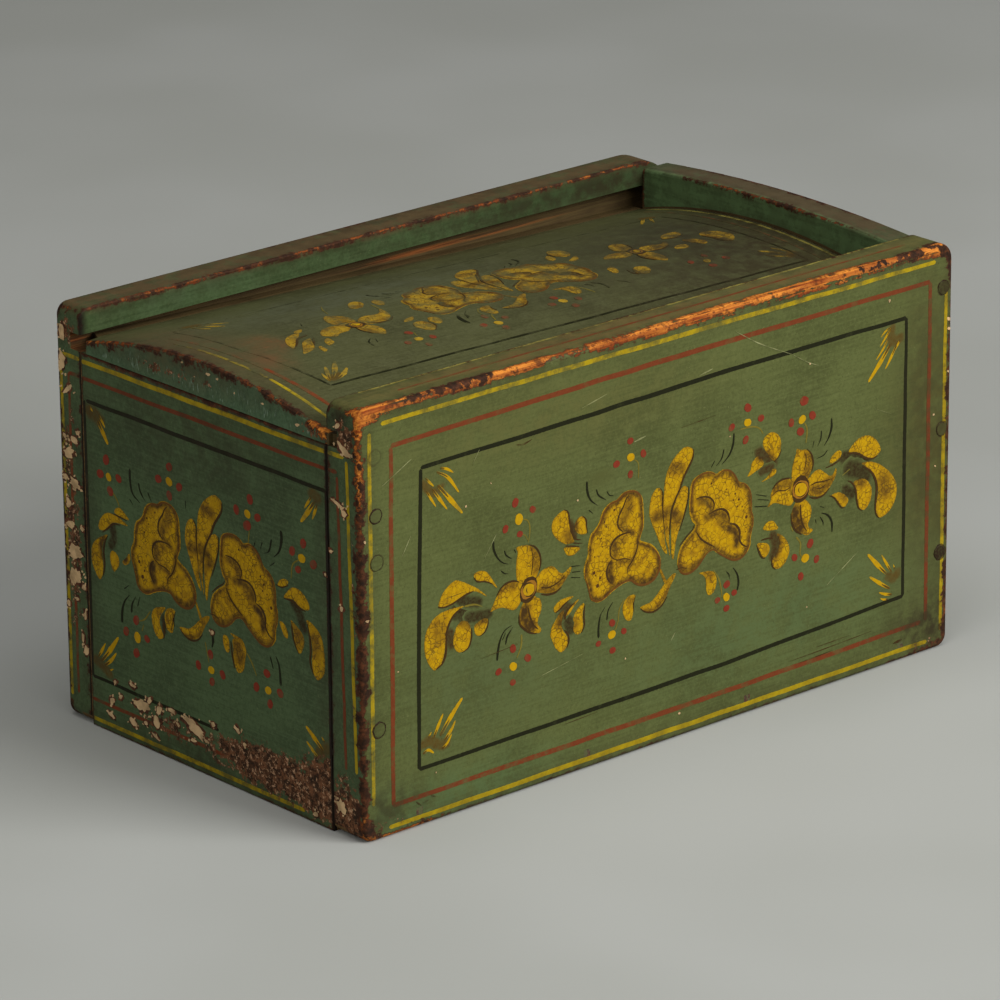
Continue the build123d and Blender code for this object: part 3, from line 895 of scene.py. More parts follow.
HEART_LINES = [
    # the lines inside the left blossom
    ([(146.4, 116.6), (144.5, 114.8), (143, 112), (140.6, 108.8), (139.8, 105.5), (140.6, 103),
      (142.8, 101)], (0.3, 0.7, 0.9, 0.9, 0.8, 0.4)),
    ([(147.8, 99.6), (144, 100), (139.8, 99.5), (136.9, 97.7), (135.6, 95.1), (135.8, 92.2),
      (137.6, 90.2), (139.8, 89.4)], (0.3, 0.6, 0.9, 1.0, 0.9, 0.5, 0.3)),
    ([(136.6, 90), (134.4, 88.2), (133.5, 85), (134.4, 81.8), (136.2, 79.6)],
     (0.4, 0.9, 1.1, 0.9, 0.35)),
    ([(138.6, 89.2), (143.2, 88.9), (147.1, 87.6)], (0.25, 0.6, 0.3)),
    ([(151.3, 95.2), (150.8, 91.7), (148.6, 87.4), (145.8, 84.6), (145.1, 81.7)], (0.4, 0.7, 0.7, 0.3)),
    # the lines inside the right blossom
    ([(174.8, 86.4), (178.8, 89.7), (182.4, 92.1), (183.5, 93.8)], (0.3, 0.6, 0.3)),
    ([(191.6, 96.6), (195.7, 97.5), (199.6, 97.2), (202.6, 95), (203.8, 91.7), (203.4, 89.4)],
     (0.3, 0.8, 1.0, 1.0, 0.4)),
    ([(203.8, 89.6), (207.3, 88.3), (209.8, 85), (209.8, 81), (211.8, 78), (214.4, 76.6)],
     (0.4, 1.0, 1.2, 1.1, 0.8, 0.4)),
    ([(184.4, 105.4), (188.8, 105.3), (192.8, 103.8), (195, 100.6), (194, 97.4)],
     (0.3, 0.7, 0.8, 0.8, 0.3)),
    ([(184.4, 91), (187.1, 87.1), (191, 83.9), (195.2, 81.3)], (0.4, 0.8, 0.8, 0.4)),
    # outlines of the leaves
    ([(163.6, 115.4), (165.4, 112.6), (165.3, 107.4), (165.7, 102), (166.4, 96)],
     (0.25, 0.55, 0.6, 0.5, 0.2)),
    ([(183, 128), (182.6, 124), (180, 120.3), (177.4, 116.8), (175.4, 112.4), (173, 108.6),
      (170.9, 104.6), (169.8, 99.5), (169.3, 93)], (0.4, 0.8, 1.1, 0.9, 0.9, 0.8, 0.7, 0.3)),
    ([(180, 112.2), (180.3, 108.6), (179.3, 104), (177.2, 98.4), (175, 93.4)],
     (0.25, 0.55, 0.6, 0.5, 0.2)),
    ([(152.7, 64.2), (155.4, 62.1), (160, 60.9), (164.6, 62.3), (168, 65.8)],
     (0.35, 0.7, 0.8, 0.6, 0.25)),
    ([(149.9, 70.8), (148.8, 67.6), (148.9, 63.8)], (0.2, 0.45, 0.2)),
    ([(173, 76.4), (176, 76.6), (179.2, 75.6)], (0.4, 0.35, 0.15)),
]
# Specks in the blossoms, as across, up and radius
HEART_SPECKS = [
    (138, 111.8, 0.5), (135.9, 109.7, 0.3), (132.3, 107.8, 0.5), (133.4, 105.4, 0.4),
    (130.5, 101, 0.45), (128.4, 101.4, 0.35), (131.3, 97.2, 0.4), (126.8, 93.8, 0.35),
    (126.4, 86.8, 0.75), (127.4, 85.4, 0.4), (129.8, 83.7, 0.6), (128.4, 80.6, 0.85),
    (134.3, 101.9, 0.3), (137.2, 102.6, 0.3), (131, 90.6, 0.3), (193.4, 110.2, 0.5),
    (201.3, 108.7, 0.35), (204.7, 107.6, 0.3), (202.2, 105.5, 0.35), (207.2, 102.2, 0.5),
    (206.3, 99.6, 0.4), (209.3, 99.2, 0.6), (208.4, 96.2, 0.45), (211.3, 95.4, 0.4),
    (213.8, 90.2, 0.75), (212.2, 93.6, 0.3), (213.4, 83.6, 0.3),
]
HEART_TENDRILS = [
    ([(122.7, 128.1), (122.9, 123.9), (124.6, 119.6), (128.6, 116)], (1.0, 1.2, 0.7, 0.2)),
    ([(128, 123.3), (129.3, 120.3), (133.6, 117.2)], (0.6, 0.75, 0.2)),
    ([(133.9, 121), (135.4, 118.9), (137.9, 118.2)], (0.4, 0.5, 0.2)),
    ([(123.6, 115.3), (126.1, 113.1)], (0.5, 0.2)),
    ([(206.4, 129.6), (205.9, 124.6), (203.6, 120.3), (199.3, 117.1)], (0.8, 1.1, 0.8, 0.2)),
    ([(200.7, 123.9), (199.3, 119.9), (196.1, 117.2)], (0.6, 0.7, 0.2)),
    ([(195.4, 119.9), (193.2, 117.2)], (0.5, 0.2)),
    ([(128.9, 57.1), (128.9, 61.7), (130, 66.8), (132.6, 70)], (1.1, 1.0, 0.7, 0.2)),
    ([(133.6, 63.9), (134.4, 68.1), (137.1, 71.2)], (0.7, 0.6, 0.2)),
    ([(206.1, 69.2), (208.6, 65.6), (209.4, 61.7), (208.7, 58.1)], (0.3, 0.8, 1.1, 0.8)),
    ([(202.1, 68.5), (203.9, 66.4), (204.3, 64.4)], (0.2, 0.6, 0.6)),
]
HEART_STEMS = [
    ([(143.6, 71), (140.7, 66.7), (140, 61.2)], (0.4, 0.7, 0.4)),
    ([(194.8, 70.8), (197.9, 66), (199.4, 60.3), (199.7, 57)], (0.4, 0.8, 0.8, 0.4)),
]

# Berries: a yellow dot, then red dots round it, each as across, up and radius
FRONT_BERRIES = [
    ((85.1, 120.7, 2.3), (83.2, 128.3, 1.9), (92.7, 123.1, 1.6), (77.7, 118.2, 1.7),
     (85.5, 114.1, 1.5)),
    ((81.3, 57, 2.0), (81.2, 64.9, 1.8), (89.3, 58.7, 1.8), (73.2, 56.7, 1.6), (81.0, 50, 1.5)),
    ((147.3, 132.8, 1.9), (147.1, 140, 1.6), (154.4, 132.8, 1.7), (139.3, 131.7, 1.7),
     (147.1, 125.3, 1.6)),
    ((136.4, 56.7, 2.0), (136.6, 61.9, 1.7), (143.2, 56.6, 1.5), (128.8, 54.6, 1.4),
     (136.8, 49.6, 1.6)),
    ((214.3, 132.4, 1.9), (214.4, 139, 2.0), (222.1, 132.6, 1.7), (205.1, 132.4, 1.7),
     (213.2, 124.9, 1.8)),
    ((202.3, 56.7, 1.9), (202.5, 62.4, 1.8), (206.9, 57.6, 1.5), (197.1, 56.6, 1.5),
     (202.4, 51.6, 1.6)),
    ((246.4, 126.3, 2.0), (247.5, 134.4, 2.3), (240, 126.3, 1.8), (252.5, 126.8, 2.0),
     (245.4, 121.1, 2.0)),
    ((248.9, 62.7, 2.1), (251.8, 68.7, 2.0), (242.5, 64.6, 1.7), (255.7, 60.6, 1.7), (246.3, 55, 1.8)),
]

# The rest of the front's garland
FRONT_GLAZES = [
    ([(40.8, 84.6), (41.4, 81.6)], 4.2, 0.50),
    ([(51, 85.4), (55, 83.6), (57, 82.4)], 2.6, 0.70),
    ([(60.5, 81.8), (66.5, 81.8)], 2.0, 0.75),
    ([(44.8, 95.2), (46, 94.6)], 1.4, 0.4),
    ([(92.4, 107.6), (94.4, 103), (94.4, 97)], 2.6, 0.58),
    ([(73, 91.5), (77, 93.4), (82, 92.6)], 2.2, 0.60),
    ([(98, 86.8), (104, 85.6), (109.6, 88)], 2.6, 0.60),
    ([(88, 80.5), (87.6, 76.4), (91, 71.8)], 3.2, 0.85),
    ([(111.6, 107), (113.6, 104.6)], 3.0, 0.62),
    ([(116.2, 111.5), (116.4, 108.2)], 1.8, 0.75),
    ([(108.6, 73.5), (107.6, 69.5)], 3.0, 0.72),
    ([(114.6, 68), (116.4, 66.6)], 2.0, 0.55),
    ([(222.2, 115.6), (225.6, 114.4), (228, 112)], 2.6, 0.85),
    ([(224, 107.2), (227.2, 107.4)], 1.8, 0.80),
    ([(250, 109.5), (250.8, 105.5), (249.4, 101.5)], 2.4, 0.62),
    ([(230, 98.6), (235, 99.8), (240, 98.8)], 2.2, 0.62),
    ([(254, 92.4), (259, 92), (263.4, 95)], 2.9, 0.66),
    ([(242.6, 86), (242.8, 81.6), (246.2, 77.2)], 3.2, 0.85),
    ([(231.6, 76.6), (232.4, 73), (230.8, 69.5)], 3.0, 0.88),
    ([(225.6, 73), (226.6, 71.4)], 1.6, 0.4),
    ([(275, 103.4), (279.5, 102.4)], 1.6, 0.5),
    ([(277.5, 91.5), (281, 90.4), (283, 88.8)], 2.4, 0.66),
    ([(295.6, 87), (296.6, 82)], 4.2, 0.62),
    ([(270.6, 85.8), (272.8, 84.4)], 2.0, 0.55),
]
FRONT_PETALS = [
    # the leaves at the left end
    ([(38, 66.7), (34.8, 71.2), (33.3, 77), (34, 83.2), (37, 87.8), (41.3, 90.2), (46, 90.9),
      (50.7, 90.8), (54.7, 90.4), (51.2, 89.2), (48, 86.7), (46, 84.3), (44.8, 81), (44.4, 77.3),
      (44, 73.3), (42.7, 69.3), (40.3, 67)], (0.7, 0.3)),
    ([(52.4, 83.8), (50, 81.3), (48.8, 77.3), (49.2, 73.8), (51, 71.3), (54, 70.7), (56.7, 72),
      (58, 75.3), (58.3, 79.3), (57.2, 82.4), (54.9, 84)], (0.7, 0.3)),
    ([(60.2, 80), (60.7, 76.9), (62.7, 75.3), (65.3, 76.3), (67, 78.7), (67.6, 81.4), (65.3, 82.2),
      (62, 81.4)], (0.6, 0.3)),
    ([(41.2, 93.6), (41.7, 96), (43.7, 99), (46.7, 101.3), (50.3, 102.6), (53.3, 101.6), (57.3, 99.3),
      (60.7, 97.2), (64, 94.7), (67.3, 91.4), (63.3, 94), (60, 95.5), (56, 95.2), (52, 94.2),
      (48, 93.1), (44, 92.8)], (0.7, 0.25)),
    ([(60.2, 102.3), (61.7, 103.3), (64.3, 103.4), (67, 102.3), (69, 100), (70.8, 97.3), (73, 93.6),
      (70, 96.2), (67.3, 97.9), (64, 98.9), (61.5, 100)], (0.6, 0.3)),
    # the first star: left, up, right and down
    ([(69, 84.2), (70.7, 86.9), (72.5, 90), (75, 92.7), (78, 94), (81.3, 94.2), (85, 93), (88, 90),
      (86, 85.5), (84.3, 82.8), (82, 81.7), (79.3, 82.6), (76.7, 84), (74, 84.6), (71.3, 84.5)],
      (0.8, 0.35)),
    ([(87, 92), (84, 94), (83.3, 98), (83.6, 102.7), (84.3, 106.2), (83.6, 108.5), (86.7, 108.7),
      (90, 108.1), (93.3, 106), (95.3, 103.3), (96.4, 100), (95.8, 96), (94.4, 93), (91, 91)],
      (0.8, 0.35)),
    ([(92.5, 91), (95, 93), (97, 94.8), (100, 95.7), (103, 95.7), (105.3, 94), (107.3, 91.8),
      (110, 91.1), (113.5, 92.9), (113.4, 90.8), (111, 88.3), (108.3, 85.7), (104.7, 84.2),
      (100.7, 84.3), (97, 85.4), (93.5, 87)], (0.8, 0.35)),
    ([(91.5, 86), (94.7, 84), (96.5, 82.7), (97.1, 80), (96.7, 77.3), (95.3, 74.7), (95, 72),
      (96.8, 69.7), (96, 68), (93.7, 68.6), (90.7, 70), (87.3, 72.6), (85.3, 75.3), (84.9, 78.7),
      (86, 82), (88.6, 85)], (0.8, 0.35)),
    # the leaves above and below it
    ([(107.7, 118), (110.3, 118.5), (111.8, 116.8), (112.4, 112.7), (113.3, 108.7), (114.7, 105.3),
      (115.4, 103.2), (112, 103.1), (109.7, 103.9), (106.7, 106.2), (104, 109.3), (103, 112.7),
      (104.2, 115.8)], (0.7, 0.3)),
    ([(116, 111.3), (118, 113.2), (120.3, 113.2), (121.7, 111), (122, 108), (122.5, 105.5),
      (120, 105.4), (117.3, 106.7), (115.8, 108.9)], (0.6, 0.3)),
    ([(109.7, 102), (112.7, 101.6), (115.3, 100.9), (118.8, 99.9), (116.7, 98.2), (114, 97.6),
      (111.3, 98.6)], (0.5, 0.3)),
    ([(104, 75.2), (104, 77), (106, 78.8), (109.3, 79.7), (114.9, 79.4), (110.7, 77.6), (108, 75.9),
      (105.7, 74.6)], (0.5, 0.3)),
    ([(104.3, 70.7), (102.7, 68.6), (102, 65.3), (103.3, 61.8), (105.3, 58.2), (108, 56.3),
      (110.7, 57.8), (111.6, 60.7), (110.7, 63.3), (109.2, 65.3), (108.2, 68), (108.6, 71.5),
      (109.6, 74.6), (106.9, 73.4)], (0.7, 0.3)),
    ([(110.6, 71.6), (111.2, 73.6), (113.9, 75.9), (118, 77.3), (115.2, 74.8), (112.6, 72.3)],
     (0.5, 0.3)),
    ([(114.6, 69.6), (116.7, 72.7), (120.8, 74.9), (120.1, 71.3), (120, 68), (120.2, 64.9), (118.7, 62),
      (116.1, 62.2), (114.6, 64.7), (115.2, 67.3)], (0.6, 0.3)),
    # the leaves between the right blossom and the second star
    ([(228.6, 124.7), (231.8, 123.2), (233.8, 120), (233.7, 115.7), (232.1, 112.9), (229.6, 111.6),
      (227.1, 114.3), (225, 117.1), (223.4, 120), (223.7, 122.6), (225.7, 124.2)], (0.7, 0.25)),
    ([(219.6, 115.7), (216.9, 113.6), (216.3, 110.9), (214.4, 108.1), (218.6, 109.2), (222.1, 110.4),
      (223.9, 111.6), (223, 114), (221.3, 115.6)], (0.6, 0.25)),
    ([(222.7, 103.8), (225.7, 105), (228.6, 107.6), (230.7, 108), (231.3, 106.4), (229.6, 104.9),
      (226.4, 104.2)], (0.5, 0.3)),
    ([(223.6, 82.4), (226.4, 84.7), (229.6, 84.4), (231.8, 81.9), (232.6, 80.2), (229.3, 80.3),
      (226.1, 81)], (0.5, 0.25)),
    ([(220.3, 76.3), (223.9, 75.9), (226.8, 74.6), (227.6, 71.8), (225.7, 69.3), (223.6, 69.6),
      (222.1, 72.1)], (0.5, 0.3)),
    ([(231.9, 78.1), (235, 76.5), (238.1, 73), (239.4, 68.6), (237.5, 64.4), (234.3, 62.1),
      (231.4, 62.3), (229.5, 64.3), (229.6, 67), (231.6, 69), (233.2, 71.6), (233.2, 74.3)],
      (0.7, 0.3)),
    # the second star: up, left, right and down
    ([(243.5, 113.7), (246.1, 112.6), (249.3, 111.9), (251.5, 109.3), (252.6, 105.7), (251.8, 101.5),
      (249.5, 98.5), (244, 98), (240.8, 100), (240.5, 103.6), (241.4, 107.9), (242.8, 111.2)],
      (0.8, 0.35)),
    ([(226.3, 91.3), (228.2, 94.3), (228.2, 97.1), (230.7, 100), (235, 101.4), (239.3, 101.2),
      (242.5, 98.5), (243, 93), (241.1, 89.8), (239.3, 89), (235.7, 90.3), (232.5, 91.7),
      (229.6, 92.4)], (0.8, 0.35)),
    ([(249, 97), (251.8, 99.5), (254.3, 101), (257.1, 101.2), (260.4, 98.9), (262.9, 97), (265, 96.9),
      (266.9, 99.6), (267.1, 97), (265.4, 94.1), (262.1, 90.7), (257.9, 89.1), (253.6, 89.8),
      (250.5, 91.5)], (0.8, 0.35)),
    ([(246.5, 91), (250.7, 87.6), (252.4, 84.3), (251.8, 80.7), (250.4, 77.9), (251.4, 75.9),
      (253.4, 74.5), (250, 72.9), (246.8, 74.5), (243.6, 77), (241.4, 80.6), (240.4, 84.3), (241.8, 88),
      (244, 90.6)], (0.8, 0.35)),
    # the leaves at the right end
    ([(274.4, 105), (276.8, 107.6), (280, 109.5), (284.3, 110.1), (288.2, 108.9), (291.8, 105.7),
      (293.7, 102.3), (293.4, 100.5), (290.7, 99.2), (287.1, 99), (284.3, 100.6), (281.4, 102.8),
      (277.9, 104.2)], (0.7, 0.25)),
    ([(282.3, 98), (285.7, 97.9), (289.3, 96.9), (293.6, 94.7), (298.6, 90.8), (301.8, 87.1),
      (303.8, 82.9), (303.6, 77.9), (301.4, 73.6), (297.9, 71), (293.9, 70.3), (291.9, 72.9),
      (291.5, 76.4), (292.4, 80.7), (292.5, 85), (291.1, 89.3), (288.2, 93.2), (285, 95.8)],
      (0.8, 0.3)),
    ([(280.7, 91), (283.6, 90.6), (286.5, 88.6), (288.5, 85), (288.3, 80.7), (286.1, 77.1),
      (283.6, 76.3), (281.2, 78.2), (280.1, 82.1), (279.4, 86.4), (277.6, 90.4)], (0.7, 0.3)),
    ([(264.4, 87.6), (267.9, 88.1), (270.5, 87.2), (273.3, 85), (274.5, 82.9), (272.9, 80.6),
      (270.7, 81), (268.6, 83.6), (266.6, 86.1)], (0.6, 0.3)),
    ([(263.4, 102.3), (263.4, 104.3), (265.7, 106.2), (268.6, 107.2), (270.2, 105.8), (269.5, 104),
      (267.1, 102.7)], (0.5, 0.25)),
]
FRONT_SMUDGES = [
    ([(47, 80.4), (47.8, 75.6)], 2.6, UMBER),
    ([(50, 89), (53.6, 87.4), (57, 84.8)], 4.2, SMUDGE),
    ([(58, 84.6), (63, 84), (67, 83.4)], 3.0, SMUDGE),
    ([(53, 93.6), (57.4, 91.6), (62, 90.4)], 3.0, SMUDGE),
    ([(113.4, 111.6), (114.6, 108.8), (115.2, 106)], 2.4, UMBER),
    ([(111.6, 69.6), (113, 65.6)], 3.2, SMUDGE),
    ([(111.4, 75), (108.4, 72.6)], 2.9, UMBER),
    ([(221.4, 117), (225.4, 114.6), (228.6, 111.4)], 3.4, UMBER),
    ([(223, 108.6), (228, 109)], 2.4, UMBER),
    ([(229.6, 77), (231.4, 73.6), (229.8, 69.4)], 3.2, UMBER),
    ([(272.6, 103), (278, 102), (284, 98.6)], 3.8, SMUDGE),
    ([(275.6, 97), (280.4, 95), (284, 92)], 4.6, SMUDGE),
    ([(273, 88), (276.4, 85.6)], 3.2, SMUDGE),
]
FRONT_LINES = [
    ([(39, 66.5), (42.9, 68.6), (44.7, 72.6), (45, 77.3), (45.2, 81.3), (46.8, 85), (49.4, 88),
      (53.3, 90)], (0.3, 0.9, 1.1, 0.9, 1.0, 1.0, 0.9, 0.4)),
    ([(53.6, 70.4), (57, 71.8), (58.6, 75.3), (58.9, 80)], (0.3, 0.6, 0.7, 0.3)),
    ([(63, 75), (65.8, 76), (67.6, 78.7), (67.9, 81.4)], (0.2, 0.4, 0.45, 0.3)),
    ([(40.8, 93.4), (44, 92.6), (48, 92.9), (52, 94), (56, 95.1), (60, 95.6)],
     (0.5, 0.6, 0.8, 0.8, 0.9, 0.4)),
    ([(60.3, 101.4), (62.2, 99.2), (66, 98.3), (68.8, 97), (70.8, 95.8)], (0.3, 0.6, 0.6, 0.5, 0.2)),
    ([(72.4, 90), (74.8, 92.9), (78, 94.4), (81.8, 94.5), (85, 93.2)], (0.3, 0.6, 0.8, 0.8, 0.5)),
    ([(90.3, 108.3), (93.7, 106.5), (96, 103.4), (96.9, 99.4), (96, 95.4)], (0.3, 0.7, 0.8, 0.7, 0.4)),
    ([(91.4, 107), (92.5, 102.7), (92.2, 98), (91.4, 94.4)], (0.2, 0.45, 0.5, 0.3)),
    ([(96.6, 88), (100.4, 86.8), (104, 87.1), (107.4, 88.2), (110.2, 90.2)], (0.3, 0.6, 0.6, 0.5, 0.2)),
    ([(96.8, 84.9), (100.8, 83.7), (105, 83.7), (108.4, 85.2)], (0.4, 0.9, 0.9, 0.3)),
    ([(89.8, 80.8), (90.6, 76.6), (92.8, 72.2), (95.2, 69.8)], (0.6, 0.9, 0.8, 0.4)),
    ([(84.7, 79), (85, 75), (87.2, 72.2), (90.6, 69.5), (94.4, 68.1)], (0.4, 0.9, 1.0, 0.8, 0.3)),
    ([(109.8, 118.8), (112.1, 117.2), (112.9, 113), (114, 108.6), (116, 104.6), (119.4, 103.2)],
     (0.3, 0.8, 1.0, 1.0, 0.8, 0.2)),
    ([(120.2, 113.6), (122.2, 111.2), (122.4, 108), (123, 105.3)], (0.3, 0.6, 0.5, 0.2)),
    ([(110.6, 102.7), (114.8, 101.5), (118.4, 100.6)], (0.4, 0.7, 0.2)),
    ([(114.8, 103), (118, 102), (120.2, 101.6)], (0.5, 0.4, 0.15)),
    ([(104.6, 74.6), (107, 75.4), (110, 77.2), (113, 78.6)], (0.4, 0.8, 0.8, 0.2)),
    ([(110.2, 70), (110.4, 72.6), (113, 75), (116, 76.6)], (0.9, 0.8, 0.7, 0.2)),
    ([(109.6, 65.8), (111.6, 63.2), (112.2, 60.4), (111, 57.4)], (0.5, 0.8, 0.8, 0.3)),
    ([(121.3, 74.4), (120.8, 71.2), (120.7, 67.8), (120.9, 64.9), (119.3, 61.9)],
     (0.2, 0.6, 0.7, 0.6, 0.2)),
    ([(229.8, 111.2), (232.6, 112.7), (234.2, 115.8)], (0.2, 0.4, 0.15)),
    ([(249.4, 112.2), (252, 109.5), (253.2, 105.4), (252.4, 101.4)], (0.3, 0.7, 0.8, 0.4)),
    ([(247.9, 111.4), (248.9, 107.9), (247.9, 102.9)], (0.2, 0.5, 0.4)),
    ([(229, 98.8), (231.6, 101), (235.2, 101.9), (239.4, 101.5)], (0.3, 0.7, 0.8, 0.6)),
    ([(228.6, 96), (232, 97.4), (236.6, 96.6), (240, 97.4)], (0.2, 0.5, 0.5, 0.3)),
    ([(251.6, 95.2), (255, 95.7), (260, 95.2), (264.4, 95.3)], (0.4, 0.6, 0.6, 0.2)),
    ([(255, 93), (258, 92.5), (260.8, 93.6)], (0.2, 0.5, 0.2)),
    ([(251.2, 90), (255, 88.7), (259.4, 89), (263.2, 91.4)], (0.5, 0.9, 0.9, 0.3)),
    ([(245.7, 88), (246, 83), (247.2, 78.6), (249.6, 75)], (0.6, 0.9, 0.8, 0.3)),
    ([(240.2, 85), (240.8, 80.6), (243.2, 76.6), (246.8, 74)], (0.4, 0.9, 1.0, 0.4)),
    ([(220, 75.8), (221.5, 72.1), (223.2, 69.3), (225.4, 68.7)], (0.3, 0.7, 0.7, 0.2)),
    ([(222.4, 77.4), (226.8, 77.3), (229.8, 76.4)], (0.4, 0.7, 0.3)),
    ([(229.2, 69), (228.9, 66), (229.6, 63.6), (231.2, 61.9)], (0.7, 0.7, 0.6, 0.2)),
    ([(273.6, 104.6), (277.9, 103.6), (281.4, 102.2), (284.8, 99.9), (288.6, 98.6), (292, 99.2)],
     (0.6, 0.8, 0.9, 0.9, 0.8, 0.3)),
    ([(282.8, 96.6), (287, 93.8), (290, 90.2), (291.6, 85.6), (291.4, 80.7), (290.9, 76), (291.6, 72.2),
      (293.6, 70)], (0.5, 0.9, 1.1, 1.2, 1.1, 0.9, 0.7, 0.2)),
    ([(274, 92), (276.6, 90.4), (278.8, 86.8), (279.5, 82), (280.8, 77.9), (283, 76.1)],
     (0.4, 0.8, 1.0, 0.9, 0.7, 0.2)),
    ([(263, 87.8), (266, 86.2), (268.3, 83.2), (270.4, 80.6), (272.4, 80.2)],
     (0.3, 0.6, 0.7, 0.6, 0.2)),
    ([(260.6, 101), (264.4, 101.4), (268, 102.3), (270.8, 103.8)], (0.3, 0.7, 0.7, 0.3)),
]
FRONT_TENDRILS = [
    ([(71, 114.7), (71.3, 110.7), (73.3, 106.7), (76, 104), (79.2, 102.5)], (0.9, 1.1, 0.8, 0.5, 0.2)),
    ([(77, 109), (78, 106.7), (81, 104.4)], (0.6, 0.7, 0.2)),
    ([(82.3, 108.3), (83.4, 106.2)], (0.4, 0.2)),
    ([(75, 100.7), (77, 99), (79, 98.4)], (0.5, 0.5, 0.2)),
    ([(72.5, 61.7), (73, 66), (74.4, 70.7), (76.9, 74), (80.7, 75.3)], (0.9, 1.2, 0.8, 0.5, 0.2)),
    ([(77.2, 67.7), (78.2, 71), (81.3, 74.4)], (0.7, 0.8, 0.2)),
    ([(75.4, 70), (77.4, 73)], (0.4, 0.2)),
    ([(113.5, 92.8), (119, 92)], (0.4, 0.2)),
    ([(114, 90.2), (119, 89.4)], (0.4, 0.2)),
    ([(113.5, 88), (119, 86.6)], (0.4, 0.2)),
    ([(219.3, 98.9), (225.7, 96.6)], (0.25, 0.4)),
    ([(220.4, 96.4), (227.1, 94.5)], (0.25, 0.4)),
    ([(218.2, 93.6), (226.1, 92)], (0.3, 0.6)),
    ([(263.9, 122.9), (264, 118.6), (262.3, 114.4), (259.6, 111.3)], (0.7, 1.2, 0.8, 0.2)),
    ([(258, 118.6), (257.6, 115), (255.7, 111.8)], (0.5, 0.7, 0.2)),
    ([(253.6, 115), (252.8, 112)], (0.4, 0.2)),
    ([(261.8, 108.9), (259.3, 107.1), (255, 106.4)], (0.4, 0.4, 0.2)),
    ([(258.2, 81.1), (262.1, 79.2), (264.6, 75.6), (264.9, 70.6)], (0.3, 0.9, 1.2, 0.7)),
    ([(257.5, 79.6), (259.3, 76.9), (259.6, 75)], (0.3, 0.6, 0.4)),
    ([(257.4, 84.3), (260.2, 83)], (0.4, 0.2)),
    ([(254.8, 79), (255.4, 77)], (0.4, 0.2)),
]
FRONT_STEMS = [
    ([(87, 120.3), (89.8, 119), (91, 116), (90.7, 111.6), (90, 109)], (0.4, 0.6, 0.7, 0.6, 0.4)),
    ([(86.2, 114.2), (88.6, 112.6), (90, 110)], (0.3, 0.5, 0.3)),
    ([(86, 70), (85.7, 64.7), (83.2, 60)], (0.9, 0.8, 0.5)),
    ([(149, 131.6), (151.6, 129), (151.6, 122.4)], (0.4, 0.6, 0.4)),
    ([(210, 130.3), (217.1, 129.9), (221.2, 128.2), (223.6, 125)], (0.4, 0.7, 0.7, 0.4)),
    ([(247.6, 124.8), (249.4, 121.2), (248.8, 115)], (0.5, 0.9, 0.6)),
    ([(243.4, 73.8), (246, 70.2), (245.8, 65.8), (247, 63.6)], (0.9, 0.8, 0.7, 0.4)),
    ([(139.6, 62), (139, 59.4), (137.4, 57.6)], (0.5, 0.5, 0.3)),
    ([(270.7, 95.1), (275.4, 97.1)], (0.3, 0.5)),
    ([(55, 90.2), (60.6, 89.6), (64.9, 87.6)], (0.9, 0.8, 0.3)),
    ([(240, 79.5), (241.6, 76.6)], (0.8, 0.5)),
]
# The eyes of the star flowers, as across, up and radius
STARS = [(90.0, 88.7, 5.3), (245.7, 94.9, 5.7)]
LID_STARS = [(82.0, 78.6, 4.2), (246.6, 84.4, 4.2)]

# The lid's own wings, in millimetres from its left end and from the front board's inner face
LID_GLAZES = [
    ([(43, 66), (47, 69)], 2.0, 0.4), ([(76, 84), (83, 88), (84, 94)], 3.0, 0.5),
    ([(66, 81), (72, 82)], 2.0, 0.5), ([(91, 76.4), (99, 77.4)], 2.0, 0.5),
    ([(81.4, 71), (82, 66)], 2.2, 0.6), ([(100.5, 100), (102, 97)], 2.0, 0.6),
    ([(108, 64), (109, 59)], 1.6, 0.6), ([(218, 102), (217, 107)], 2.0, 0.5),
    ([(226.5, 66), (226.5, 61)], 1.8, 0.7), ([(247.4, 98), (245, 92)], 2.0, 0.5),
    ([(232, 87), (240, 87)], 2.0, 0.5), ([(254, 83), (262, 83.6)], 2.0, 0.5),
    ([(245, 78), (245, 70)], 2.2, 0.6), ([(287.5, 84), (289, 74)], 2.0, 0.6),
    ([(275, 84), (279, 78)], 2.4, 0.5),
]
